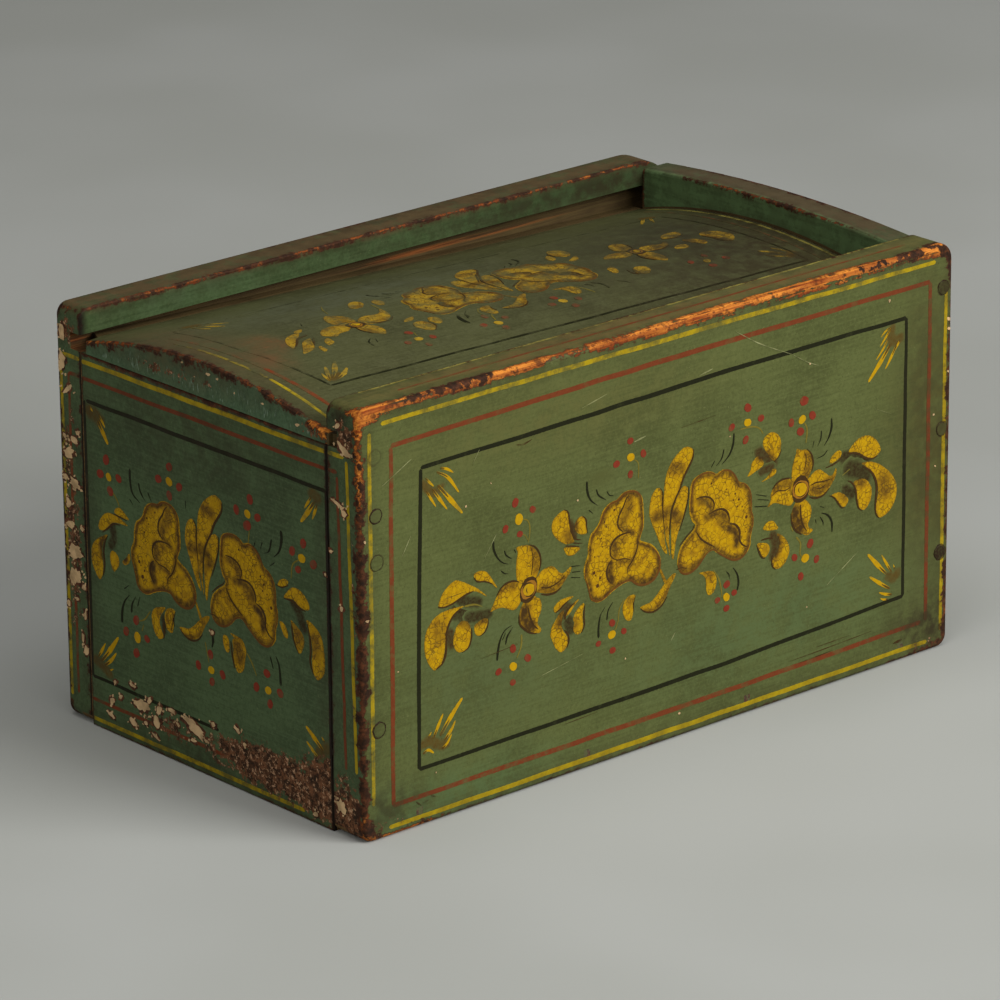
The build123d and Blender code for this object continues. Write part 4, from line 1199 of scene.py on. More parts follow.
LID_PETALS = [
    ([(41, 70), (42.6, 76), (46, 81), (50.6, 84), (56, 84.4), (52.6, 80.6), (48, 76), (44, 71.4)],
     (0.6, 0.3)),
    ([(40.6, 62.6), (43.4, 66.4), (46.4, 70.4), (50, 74.4), (55, 76), (52, 70.4), (49.4, 66),
      (45, 63.4)], (0.6, 0.3)),
    ([(56, 64.6), (57.4, 69.4), (61, 71.8), (60.4, 66.6)], (0.5, 0.3)),
    ([(49.6, 60), (50, 64), (52.2, 66), (52, 61)], (0.5, 0.3)),
    ([(54.6, 85.6), (57, 88), (60.4, 88), (58, 85.2)], (0.5, 0.3)),
    ([(61.4, 75.6), (64, 80), (69, 83), (75, 82.6), (79, 79), (75, 74.6), (70, 74), (66, 71.6),
      (63.6, 73)], (0.8, 0.4)),
    ([(78, 80), (75, 85), (76.4, 92), (80.4, 97), (84.4, 94.4), (86.4, 89), (85.6, 83), (82.4, 79.6)],
     (0.8, 0.4)),
    ([(84, 79), (88, 84), (93, 86), (98.4, 84.6), (101.6, 86.4), (104.6, 90), (104, 84), (101, 78.6),
      (96, 75.6), (90, 75.4), (86, 77)], (0.8, 0.4)),
    ([(80, 77), (79.6, 71.4), (81.4, 66), (84.4, 62.4), (87.4, 65.6), (88.4, 70.6), (86.6, 74.6),
      (83.6, 77.6)], (0.8, 0.4)),
    ([(97, 99.6), (99, 104), (102.4, 107.2), (105.6, 107.6), (106.4, 103.6), (104.2, 99.8),
      (100.6, 97.4)], (0.7, 0.3)),
    ([(108.8, 95.6), (109.6, 101), (113, 103.4), (113.8, 98.6), (111.4, 94.4)], (0.5, 0.3)),
    ([(101, 69.4), (103.6, 71.8), (108.4, 72.6), (105.4, 69.4)], (0.5, 0.3)),
    ([(100.8, 62), (102.6, 65.8), (106.6, 66.4), (109, 62.8), (108.6, 58.4), (105.4, 55.2),
      (102, 57.4)], (0.7, 0.3)),
    ([(110.4, 64), (112.6, 67.8), (116, 66.4), (115.2, 61.4), (111.8, 60)], (0.5, 0.3)),
    ([(216.4, 103.4), (217.2, 109.8), (221.2, 113.6), (225, 109.8), (224.2, 103), (219.8, 99.4)],
     (0.7, 0.3)),
    ([(209.4, 99.2), (211, 104), (214.6, 106.6), (214.2, 101.6), (212, 98.6)], (0.5, 0.3)),
    ([(214.8, 92.8), (217.4, 94.8), (222.4, 97.4), (220.8, 93.4), (217.2, 91.4)], (0.5, 0.3)),
    ([(226, 62), (227.8, 66.2), (231.8, 68), (235, 65.2), (233.6, 61), (229.6, 59)], (0.7, 0.3)),
    ([(217.6, 67.6), (218.8, 72.8), (222.6, 74.4), (222, 69.6), (219.8, 66.8)], (0.5, 0.3)),
    ([(243, 88), (240.4, 92), (242.4, 98), (247.4, 101.4), (250.4, 98.4), (249.6, 92.4), (247, 87.6)],
     (0.8, 0.4)),
    ([(228, 85), (232.4, 88.2), (238.4, 88.4), (243.6, 86), (242, 82), (236.4, 81), (231.6, 82.4)],
     (0.8, 0.4)),
    ([(248.6, 84), (252.6, 88.4), (258.4, 88.2), (262.4, 86.4), (267, 88.2), (264.6, 83.6), (259, 81.4),
      (253, 81.4)], (0.8, 0.4)),
    ([(244.6, 82.6), (243.4, 76.4), (245.6, 70.4), (249, 67), (251.6, 71.4), (251.4, 77.8),
      (248.4, 82.6)], (0.8, 0.4)),
    ([(269.6, 92.6), (272.4, 96.4), (277.4, 98.4), (281.6, 97.2), (281, 92.8), (276, 90.8)],
     (0.7, 0.3)),
    ([(286, 85.4), (288.4, 88.4), (292.4, 88.4), (296.4, 85), (298, 79.6), (296, 74.6), (292, 71.4),
      (289, 73.6), (288.4, 79)], (0.8, 0.3)),
    ([(274, 84.6), (277.6, 84.4), (281, 81), (281.4, 76.4), (278.4, 75), (275.8, 78.6)], (0.7, 0.4)),
    ([(263, 77.4), (266.4, 80.2), (270.6, 79.4), (270, 75.8), (266, 75.2)], (0.5, 0.3)),
]
LID_LINES = [
    ([(41.6, 69.4), (46, 73.6), (51, 78.6), (57, 80)], (0.3, 0.9, 1.2, 0.4)),
    ([(51, 68), (53.4, 71.6), (56.6, 75.4)], (0.3, 1.2, 0.4)),
    ([(75, 83), (79, 83.6), (84.6, 83.4)], (0.3, 0.7, 0.3)),
    ([(87.6, 77.6), (92, 75), (98, 75.2), (102, 78)], (0.3, 0.7, 0.8, 0.3)),
    ([(79.6, 76), (79, 71), (80.8, 65.6)], (0.4, 0.8, 0.4)),
    ([(109.4, 64), (109.4, 59), (106, 55)], (0.3, 0.7, 0.3)),
    ([(225, 67), (224.6, 62.6), (226, 60)], (0.3, 1.1, 0.3)),
    ([(215.6, 103), (216, 108.6)], (0.4, 0.9)),
    ([(250.6, 98), (250.4, 92), (248, 88)], (0.3, 0.7, 0.4)),
    ([(252, 81), (259, 80.6), (264.6, 83)], (0.3, 0.7, 0.3)),
    ([(243.4, 81), (242.6, 76), (244.8, 70)], (0.4, 0.8, 0.4)),
    ([(285.6, 84.6), (287.4, 79), (288, 73.6), (291.6, 70.6)], (0.4, 1.1, 0.9, 0.3)),
    ([(268.6, 92), (274, 90), (281, 91.6)], (0.3, 0.7, 0.3)),
    ([(163, 93), (167.4, 99), (171.6, 105.4)], (0.3, 1.1, 0.4)),
]
LID_TENDRILS = [
    ([(71.4, 54), (72.4, 58.6), (76, 61.8)], (0.9, 0.8, 0.2)),
    ([(75.4, 56.4), (77.4, 60.4)], (0.5, 0.2)),
    ([(122.4, 54.6), (123, 60), (126, 65)], (1.2, 1.1, 0.3)),
    ([(126.6, 58), (128.4, 62.6)], (0.7, 0.3)),
    ([(212, 59), (214.4, 56.6), (215.4, 54)], (0.3, 0.7, 0.4)),
    ([(117, 112), (117.4, 108)], (0.6, 0.2)), ([(64, 92), (66.6, 96)], (0.5, 0.2)),
]
LID_STEMS = [
    ([(84, 99), (87, 106), (91, 112)], (0.4, 0.7, 0.3)),
    ([(104.6, 89), (106, 94), (106.4, 98)], (0.9, 1.0, 0.4)),
    ([(135, 50), (137, 55), (140.6, 59)], (0.6, 0.8, 0.4)),
    ([(94, 53), (96, 58)], (0.5, 0.3)),
    ([(264.6, 60), (268, 66)], (0.5, 0.3)),
]
LID_BERRIES = [
    ((92.6, 50.6, 1.9), (93.4, 58, 1.8), (86, 49.6, 1.7), (99.4, 49.4, 1.7), (92.6, 44, 1.6)),
    ((134, 47.4, 1.9), (126.6, 48.4, 1.8), (140.6, 50.6, 1.8), (133.6, 42, 1.8), (133.8, 55.8, 1.7)),
    ((175, 52.6, 1.9), (168, 51.8, 1.8), (182.8, 51.6, 1.8), (176.4, 46, 1.8), (174, 57.4, 1.7)),
    ((263, 57, 1.8), (255.6, 59.4, 1.7), (273, 55.6, 1.7), (261.4, 51.4, 1.8), (266.4, 62.4, 1.6)),
]
LID_TUFTS = [
    ([([(32, 35.6), (35, 40.6), (38.6, 46.4)], (0.6, 1.5, 0.8)),
      ([(34.4, 36.4), (40, 42), (46, 49.4)], (0.7, 1.9, 0.9)),
      ([(35.6, 34.6), (41, 37.4), (46, 41.4)], (0.7, 1.6, 0.7)),
      ([(31, 34), (32, 39), (33, 42)], (0.5, 1.0, 0.5))], ([(34, 36), (38.4, 38)], 1.7)),
    ([([(36, 130), (39, 124), (43.4, 117.6)], (0.6, 1.8, 0.7)),
      ([(34, 129), (34.6, 123.4), (36.6, 118.6)], (0.5, 1.3, 0.5)),
      ([(39.4, 130.4), (44, 126), (48.6, 121.6)], (0.5, 1.2, 0.4))],
      ([(34.4, 131.6), (38.6, 131)], 2.0)),
    ([([(300, 46), (296, 49.6), (291, 54.6)], (0.7, 1.4, 0.6)),
      ([(298.6, 43.4), (294.6, 45.4), (290.4, 49)], (0.6, 1.2, 0.5)),
      ([(302.4, 47.4), (300.6, 51), (298.4, 54.6)], (0.5, 1.0, 0.4))],
      ([(300, 43.4), (303, 45.6)], 1.8)),
    ([([(294, 131.4), (289.6, 127), (284, 121.6)], (0.6, 1.4, 0.6)),
      ([(296, 129.6), (293, 124.6), (290, 120)], (0.5, 1.1, 0.4))],
      ([(295, 132.4), (297.6, 130.6)], 1.8)),
]

# Corner tufts of the front: the yellow strokes of each, then the dark smear that lies under their roots
FRONT_TUFTS = [
    ([([(41.5, 146), (47.5, 139), (54.6, 130.8)], (0.8, 1.7, 0.7)),
      ([(38.6, 145), (42, 140.4), (46.4, 134.4)], (0.6, 1.2, 0.4)),
      ([(35.4, 145), (37.6, 141.4), (40.4, 137)], (0.5, 0.9, 0.3)),
      ([(41, 151.8), (47, 148), (52.8, 140.2)], (0.5, 1.2, 0.5)),
      ([(43, 153), (46.4, 151.8), (50, 149.4)], (0.5, 0.9, 0.4)),
      ([(35, 150.6), (37.4, 148), (39.4, 146)], (0.4, 0.8, 0.4))],
      ([(34.4, 147.8), (36.6, 145.6), (39.6, 143.6), (42.6, 144.8)], 1.7)),
    ([([(299, 148.2), (292.6, 141), (285.8, 134)], (0.8, 1.7, 0.8)),
      ([(302.6, 147), (299.4, 142.2), (296, 137.6)], (0.6, 1.1, 0.4)),
      ([(304.8, 149), (303, 146.6), (301.8, 145)], (0.5, 0.8, 0.3)),
      ([(298, 152), (295, 147.6), (290.4, 143)], (0.4, 0.8, 0.3)),
      ([(299.4, 155.6), (296, 152), (292.6, 148.4)], (0.4, 0.8, 0.3)),
      ([(298.6, 156), (295.6, 154.6), (293, 152.6)], (0.3, 0.6, 0.3))],
      ([(300.4, 155), (299.2, 151.6), (301, 149), (304.8, 150.2)], 1.7)),
    ([([(41, 37), (47, 44), (53.4, 50.6)], (0.9, 1.7, 0.8)),
      ([(37.4, 37), (40, 41.6), (42.8, 46.4)], (0.6, 1.2, 0.5)), ([(34.6, 38), (36.4, 40)], (0.5, 0.4)),
      ([(43.4, 34.4), (47, 38), (49.4, 41.6)], (0.8, 1.2, 0.4)),
      ([(42, 31), (45, 33), (47.4, 36.4)], (0.7, 0.9, 0.3)),
      ([(31.6, 31.6), (34.6, 32.6), (37.6, 30.4)], (0.7, 0.9, 0.5))],
      ([(31.8, 35), (35.4, 36.2), (39, 34), (41.4, 33), (43.8, 33)], 1.9)),
    ([([(299, 42.4), (293.4, 48), (286.8, 55)], (0.7, 1.7, 0.9)),
      ([(301.6, 43), (298.6, 47.4), (295.2, 52.6)], (0.6, 1.0, 0.4)),
      ([(300.6, 35.6), (294.8, 39.4), (288, 44.2)], (0.7, 1.4, 0.6)),
      ([(302, 32.6), (297.6, 33.8), (294, 35.4)], (0.6, 1.0, 0.4)),
      ([(303.4, 44), (302.6, 46.4)], (0.6, 0.3)),
      ([(299.4, 31), (296.4, 31.6), (294.8, 32.6)], (0.5, 0.7, 0.3))],
      ([(300, 41.4), (302.6, 40), (304.8, 41.8)], 1.8)),
]

# The ends carry a narrower spray. Places are from the end's rear lower corner.
END_GLAZES = [
    ([(29.6, 88), (28, 84.6), (28.4, 80)], 2.4, 0.80),
    ([(35, 86.8), (40, 85.4), (43.6, 83.4)], 2.4, 0.85),
    ([(64, 67), (66, 65)], 2.2, 0.5),
    ([(70.6, 66), (71.6, 63)], 1.4, 0.6),
    ([(168.2, 81.6), (168.6, 77.6)], 3.4, 0.60),
    ([(156, 83.5), (158.4, 79)], 4.0, 0.62),
    ([(117.6, 66), (119.4, 60)], 4.0, 0.66),
]
END_PETALS = [
    ([(25.8, 93.2), (27.5, 96.8), (31.4, 100.2), (35.7, 100.8), (40.7, 100.2), (46, 98.2), (40, 97.8),
      (35.7, 97), (32.1, 94), (29.3, 91.9), (26.4, 91.6)], (0.6, 0.3)),
    ([(20.3, 79.6), (21.4, 83.6), (24.6, 86.8), (28.6, 89.2), (31.6, 90.5), (31, 88.6), (28.9, 86.4),
      (27.7, 82.3), (28.2, 76.1), (27.5, 71.3), (25.6, 68.8), (22.9, 71), (20.7, 74.8)], (0.6, 0.3)),
    ([(33.6, 83), (35.7, 84.4), (38.9, 82.3), (39.1, 78.8), (37.1, 76.1), (35.6, 75), (34, 76.8),
      (33.2, 80.3)], (0.6, 0.3)),
    ([(41.7, 81.2), (44.3, 83.6), (46.5, 86), (47.1, 83.6), (45.7, 81.2), (42.9, 79.9)], (0.5, 0.3)),
    ([(37, 102), (38.4, 104.2), (41.1, 104.8), (44.3, 103.2), (47, 101.1), (42.9, 101.1),
      (38.9, 101.4)], (0.5, 0.3)),
    ([(60.6, 61.7), (61.4, 64.4), (64.3, 66.8), (70.2, 68.3), (68.4, 65.8), (66.4, 63), (66.1, 59.6),
      (67.9, 56.2), (68.2, 54.4), (65.7, 52.9), (63.2, 54.1), (61.3, 57.6)], (0.6, 0.3)),
    ([(70.4, 65.8), (72.1, 67.1), (75, 67.2), (74.6, 63), (73.2, 58.7), (70.7, 58.9), (70.3, 62.4)],
     (0.5, 0.35)),
    ([(145.3, 98.8), (146.6, 101.5), (149.4, 102.8), (152, 102.5), (151.2, 100.4), (148, 99)],
     (0.5, 0.3)),
    ([(149.2, 94.8), (151.6, 98), (154.4, 100.4), (158, 100.8), (161.6, 99.5), (164.9, 96.4),
      (165.1, 93.6), (162.3, 92.9), (158.7, 93.6), (155.1, 95.3)], (0.6, 0.3)),
    ([(163.3, 88.6), (165.9, 88.5), (169.4, 86.8), (172.3, 84.4), (173.8, 80.3), (174.6, 74),
      (174.1, 68.5), (171.6, 65.2), (169.4, 64.4), (167.3, 66.8), (166.4, 71.3), (166.9, 76.1),
      (166.2, 80.9), (164.5, 85.7)], (0.7, 0.35)),
    ([(153.2, 85.8), (156.6, 84.4), (160.1, 82.3), (161.6, 78.8), (160.5, 74.8), (158.7, 72.7),
      (156.9, 74), (155.5, 77.5), (154.8, 81.6)], (0.7, 0.4)),
    ([(146.1, 83.4), (149.1, 82.9), (151.2, 79.6), (150.9, 77.2), (149.1, 77.5), (147.2, 80.3)],
     (0.5, 0.3)),
    ([(108.7, 66.8), (111.6, 66.8), (112.6, 63.7), (112.3, 60.4), (110.5, 60), (108.7, 63)],
     (0.5, 0.3)),
    ([(115, 66.9), (119.4, 65.9), (123, 63.1), (122.6, 58.9), (121.6, 54.8), (118.7, 52.8),
      (116.6, 54.1), (115.4, 58.3), (115.1, 62.4)], (0.7, 0.4)),
]
END_SMUDGES = [
    ([(35.5, 94.5), (36, 90), (34.3, 87)], 2.9, SMUDGE),
    ([(68.6, 63), (69, 58)], 1.9, SMUDGE),
    ([(155.6, 93.6), (158.7, 90.6), (161, 85.4)], 3.2, SMUDGE),
]
END_LINES = [
    ([(28, 90.6), (32.4, 93.6), (36.4, 96.6), (41, 97.2)], (0.3, 0.9, 0.9, 0.2)),
    ([(32, 90.2), (29.8, 86.6), (28.8, 82), (29.2, 76), (28, 71)], (0.3, 0.9, 1.0, 0.9, 0.3)),
    ([(35.7, 101), (40, 100.9), (45.7, 100.4)], (0.3, 0.5, 0.2)),
    ([(68.8, 61.8), (69, 57.6), (68.6, 53.8)], (1.0, 1.2, 0.4)),
    ([(75.2, 66.9), (75, 63), (73.6, 58.6)], (0.2, 0.5, 0.2)),
    ([(143.8, 98.9), (148, 98.8), (152.4, 100.8)], (0.2, 0.6, 0.3)),
    ([(149, 94.4), (155, 94.4), (159, 92.8), (163, 92.3)], (0.3, 0.8, 0.9, 0.3)),
    ([(164, 87.6), (165.2, 82), (165.8, 76), (165.2, 71), (167.2, 66)], (0.4, 1.0, 1.1, 0.9, 0.3)),
    ([(153.6, 84.6), (154.3, 80), (155.8, 76), (158, 72.6)], (0.3, 0.8, 0.8, 0.3)),
    ([(113.6, 65.6), (114.4, 60), (115.8, 54)], (0.3, 1.0, 0.4)),
]
END_TENDRILS = [
    ([(48.6, 124.4), (48.6, 119.3), (50, 113.8), (55, 110.8)], (1.2, 1.2, 0.8, 0.2)),
    ([(54.3, 119.6), (55.4, 115.9), (58.6, 112.4)], (0.8, 0.8, 0.2)),
    ([(60.4, 116.9), (62.9, 113.2)], (0.7, 0.2)),
    ([(47.9, 110.8), (50, 108.7)], (0.5, 0.2)),
    ([(85.7, 120), (85.7, 116.5)], (0.5, 0.2)),
    ([(40, 53.2), (40.4, 58.3), (42.1, 63.1), (45.7, 67.2)], (1.5, 1.4, 0.8, 0.2)),
    ([(46.8, 59.6), (47.5, 63.7), (50, 67.6)], (1.1, 0.9, 0.2)),
    ([(42.1, 68.9), (45.7, 71.6)], (0.5, 0.2)),
    ([(51.1, 63.5), (52.9, 68.5)], (0.5, 0.2)),
    ([(148, 123.4), (148.4, 119.3), (146.6, 113.9), (143, 110.4)], (1.6, 1.5, 0.9, 0.2)),
    ([(141.9, 118), (140.1, 112.4), (136.6, 110.4)], (0.8, 0.8, 0.2)),
    ([(135.9, 115.2), (134.4, 111.7)], (0.6, 0.2)),
    ([(131.2, 114), (130, 111)], (0.5, 0.2)),
    ([(143.7, 108.4), (140.1, 105.6)], (0.5, 0.2)),
    ([(143, 67.2), (145.1, 63.1), (145.9, 54.8)], (0.4, 1.1, 1.4)),
    ([(139.4, 65.9), (141.2, 61)], (0.8, 0.4)),
    ([(101.2, 65.9), (101.8, 62.4), (100.9, 59)], (0.6, 1.5, 0.6)),
]
END_STEMS = [
    ([(36.6, 110.6), (39.4, 107.6), (40.8, 105)], (0.6, 0.8, 0.5)),
    ([(51.4, 57), (55.7, 59), (60, 64)], (0.5, 0.8, 0.5)),
    ([(53.6, 53), (55, 56.4)], (0.7, 0.4)),
    ([(96.4, 60.4), (97.6, 56), (98.6, 51.6)], (0.5, 0.6, 0.4)),
    ([(127.6, 118), (126.6, 111.6)], (0.5, 0.6)),
    ([(159.6, 114), (155.2, 110.5), (154.1, 104.2)], (0.6, 0.7, 0.5)),
    ([(123.7, 63.4), (127.3, 59.6), (130.1, 54.8)], (0.6, 0.8, 0.5)),
]
END_BERRIES = [
    ((33.9, 116.9, 1.8), (32.5, 124.2, 2.2), (28.2, 116.9, 2.2), (40.7, 118, 1.9), (34.6, 110.8, 2.1)),
    ((75.1, 125.5, 2.0), (75.4, 132.1, 2.0), (67.9, 124.9, 2.0), (81.8, 124.9, 2.0), (75, 119.4, 1.9)),
    ((50.4, 49.3, 2.3), (49.9, 57, 2.1), (42.7, 50, 2.0), (56.9, 50.5, 1.8), (49.4, 42, 2.1)),
    ((100.1, 48.8, 1.9), (99.8, 55.7, 1.9), (91.5, 48.6, 1.9), (107.6, 48.8, 1.9), (100.4, 43.6, 1.8)),
    ((126.6, 124.9, 1.9), (128.4, 131.7, 2.1), (119.4, 124.9, 2.0), (133.1, 125, 1.9),
     (126.2, 119.7, 2.4)),
    ((161.2, 114.9, 2.1), (162.3, 121.6, 2.0), (155.1, 116.5, 2.0), (168.6, 114.2, 2.1),
     (158.7, 109.4, 1.7)),
    ((137.6, 50.5, 1.9), (136.9, 57.8, 2.0), (129.8, 49.8, 2.0), (145.4, 51.5, 2.0),
     (138.6, 44.8, 1.9)),
]
END_TUFTS = [
    ([([(27.4, 140.6), (30.6, 136.4), (34.2, 131.4)], (1.0, 1.8, 0.9)),
      ([(28.4, 143), (31, 140.4), (32.6, 138.4)], (0.7, 1.0, 0.4)),
      ([(22, 145.6), (24.4, 143.6)], (0.7, 0.5))], ([(22.6, 143), (25.6, 142.6), (28.4, 141)], 2.8)),
    ([([(170, 141.6), (165.6, 136), (161, 130.6)], (0.9, 1.8, 0.9)),
      ([(168, 143), (165.4, 139.6), (163.4, 137)], (0.6, 1.0, 0.4)),
      ([(171.6, 140.6), (170, 137), (168.4, 133.6)], (0.6, 1.2, 0.4))],
      ([(169, 144.6), (171.6, 143.6)], 2.4)),
    ([([(25, 31.6), (31, 38), (37.2, 45.6)], (0.8, 1.9, 0.9)),
      ([(22.6, 32.6), (25.4, 36.4), (28, 40.4)], (0.6, 1.2, 0.4)),
      ([(27, 30), (31.6, 33.6), (35.4, 38)], (0.8, 1.4, 0.5)), ([(30, 28.4), (33, 30)], (0.6, 0.4))],
      ([(21.6, 30.6), (26, 29.2), (29.6, 27.4)], 2.0)),
    ([([(172.6, 34), (167.6, 37.6), (161.6, 41.8)], (0.8, 1.7, 0.8)),
      ([(169.6, 29.6), (165.6, 32.4), (161.8, 35.2)], (0.6, 1.2, 0.4)),
      ([(173.6, 38), (171.6, 40)], (0.6, 0.4))], ([(170.6, 32.6), (174.4, 35.6)], 2.4)),
]


def paint_heart(film, tendrils=(), stems=()):
    """The two blossoms with their leaves."""
    paint_spray(film, HEART_GLAZES, HEART_PETALS, (), HEART_LINES, tendrils, stems)
    for number, points, widths in HEART_OUTLINES:
        film.stroke(inset(points, HEART_PETALS[number][0], OUTLINE_INSET), widths, SIENNA, 0.15)
    for across, up, radius in HEART_SPECKS:
        foot, head = (across - 0.5 * radius, up - radius), (across + 0.5 * radius, up + radius)
        film.stroke([foot, head], (1.8 * radius, 2.2 * radius, 1.6 * radius), DAB, 0.15)


def paint_spray(film, glazes, petals, smudges, lines, tendrils, stems, berries=(), stars=(), tufts=()):
    """Paints one set of motifs, from the soft dark patches up to the berries and the corner tufts."""
    film.glaze_lines = [
        (film.turn(smooth_line(points)), radius, strength) for points, radius, strength in glazes
    ]
    for points, radius, ink in smudges:
        film.smudge(points, radius, ink)
    for points, widths in stems:
        film.stroke(points, widths, OLIVE, 0.09, 0.9)
    for points, rim in petals:
        film.petal(points, film.yellow, rim)
    for points, widths in lines:
        film.stroke(points, widths, UMBER, 0.17)
    for points, widths in tendrils:
        film.stroke(points, widths, BLACK, 0.10, fade=(1.0, 1.0, 0.7))
    for across, up, radius in stars:
        film.dot((across, up), radius, UMBER, 0.20)
        film.dot((across, up), radius - 1.2, linear(142, 96, 26), 0.23)
        film.dot((across, up), radius - 2.0, UMBER, 0.26)
        film.dot((across, up), radius - 2.4, YELLOW, 0.29)
        fold = [(across - 0.9, up + 1.2), (across - 1.3, up), (across - 0.7, up - 1.5)]
        film.stroke(fold, (0.2, 0.5, 0.2), UMBER, 0.32)
    for yellow, *reds in berries:
        for across, up, radius in reds:
            film.dot((across, up), radius, RED, 0.12, 0.85)
        film.dot(yellow[:2], yellow[2], film.yellow, 0.14)
    film.glaze_lines = []
    for strokes, (root, radius) in tufts:
        film.smudge(root, 1.5 * radius, ROOT, 0.03, 0.9)
        for points, widths in strokes:
            wider = [1.4 * width for width in widths]
            film.stroke(points, wider, film.yellow, 0.10, fade=(0.6, 0.9, 0.75))
            root_end = smooth_line(points)
            root_end = root_end[:max(3, int(0.45 * len(root_end)))]
            film.stroke(root_end, (1.5 * widths[0], 1.2 * widths[0], 0.3), ROOT, 0.14, 0.8)


def paint_stripe(film, points, width, ink, cover=0.95, height=0.07, waver=0.18):
    """A lining stripe: nearly straight, with a slightly unsteady hand."""
    line = [np.array(p, float) for p in points]
    path = []
    for a, b in zip(line[:-1], line[1:]):
        pieces = max(2, int(np.linalg.norm(b - a) / 14))
        for i in range(pieces):
            t = i / pieces
            nudge = np.array([dice.uniform(-waver, waver), dice.uniform(-waver, waver)]) if path else 0.0
            path.append(a + (b - a) * t + nudge)
    path.append(line[-1])
    film.stroke(path, (width * 0.9, width, width * 1.05, width, width * 0.9), ink, height, cover)


def round_off(from_arris):
    """How far a rounded outer arris falls away at this distance from it."""
    if from_arris >= ARRIS:
        return 0.0
    return ARRIS - math.sqrt(max(ARRIS ** 2 - (ARRIS - max(from_arris, 0.0)) ** 2, 0.0))


# The outer faces. Across and up are in millimetres; out is the height above the face.
def on_front(across, up, out):
    fall = round_off(min(across, LENGTH - across, up, TOP - up))
    return (LEFT + across, FRONT + fall - out, up)


def on_low_end(across, up, out):
    fall = round_off(min(across, DEPTH - across))
    return (LEFT + fall - out, BACK - across, up)


def on_tall_end(across, up, out):
    return (RIGHT + out, FRONT + across, up)


def on_back(across, up, out):
    return (RIGHT - across, BACK + out, up)


def on_lid(across, up, out):
    x, y = LEFT + across, INNER_FRONT + up
    return (x, y, lid_height(x, y) + out)


def on_board_top(across, up, out):
    return (LEFT + across, FRONT + up, TOP + out)


# Paint of the boards
FRONT_PEGS = [
    (-160, 48.6, 0.10, 1.1), (-160, 120.5, 0.02, 0.75), (-160, 140.5, 0.14, 1.2),
    (-160, 165.4, 0.0, 0.35),
]
TALL_PEGS = [(162.5, 45, 0.80, 1.1), (162.5, 102.3, 0.12, 0.85), (162.5, 167, 0.60, 1.1)]
FRONT_TONES = (linear(85, 91, 48), linear(72, 77, 39), linear(96, 103, 57))
BACK_TONES = (linear(64, 82, 48), linear(53, 68, 38), linear(78, 96, 60))
END_TONES = (linear(74, 92, 58), linear(60, 74, 46), linear(86, 104, 70))
LID_TONES = (linear(75, 76, 45), linear(62, 62, 36), linear(86, 87, 56))
LID_END_TONES = (linear(74, 98, 68), linear(60, 80, 56), linear(92, 116, 84))
TOP_BROWN = linear(88, 72, 46)
TALL_BROWN = linear(84, 72, 50)
FRONT_BROWN = linear(104, 90, 50)

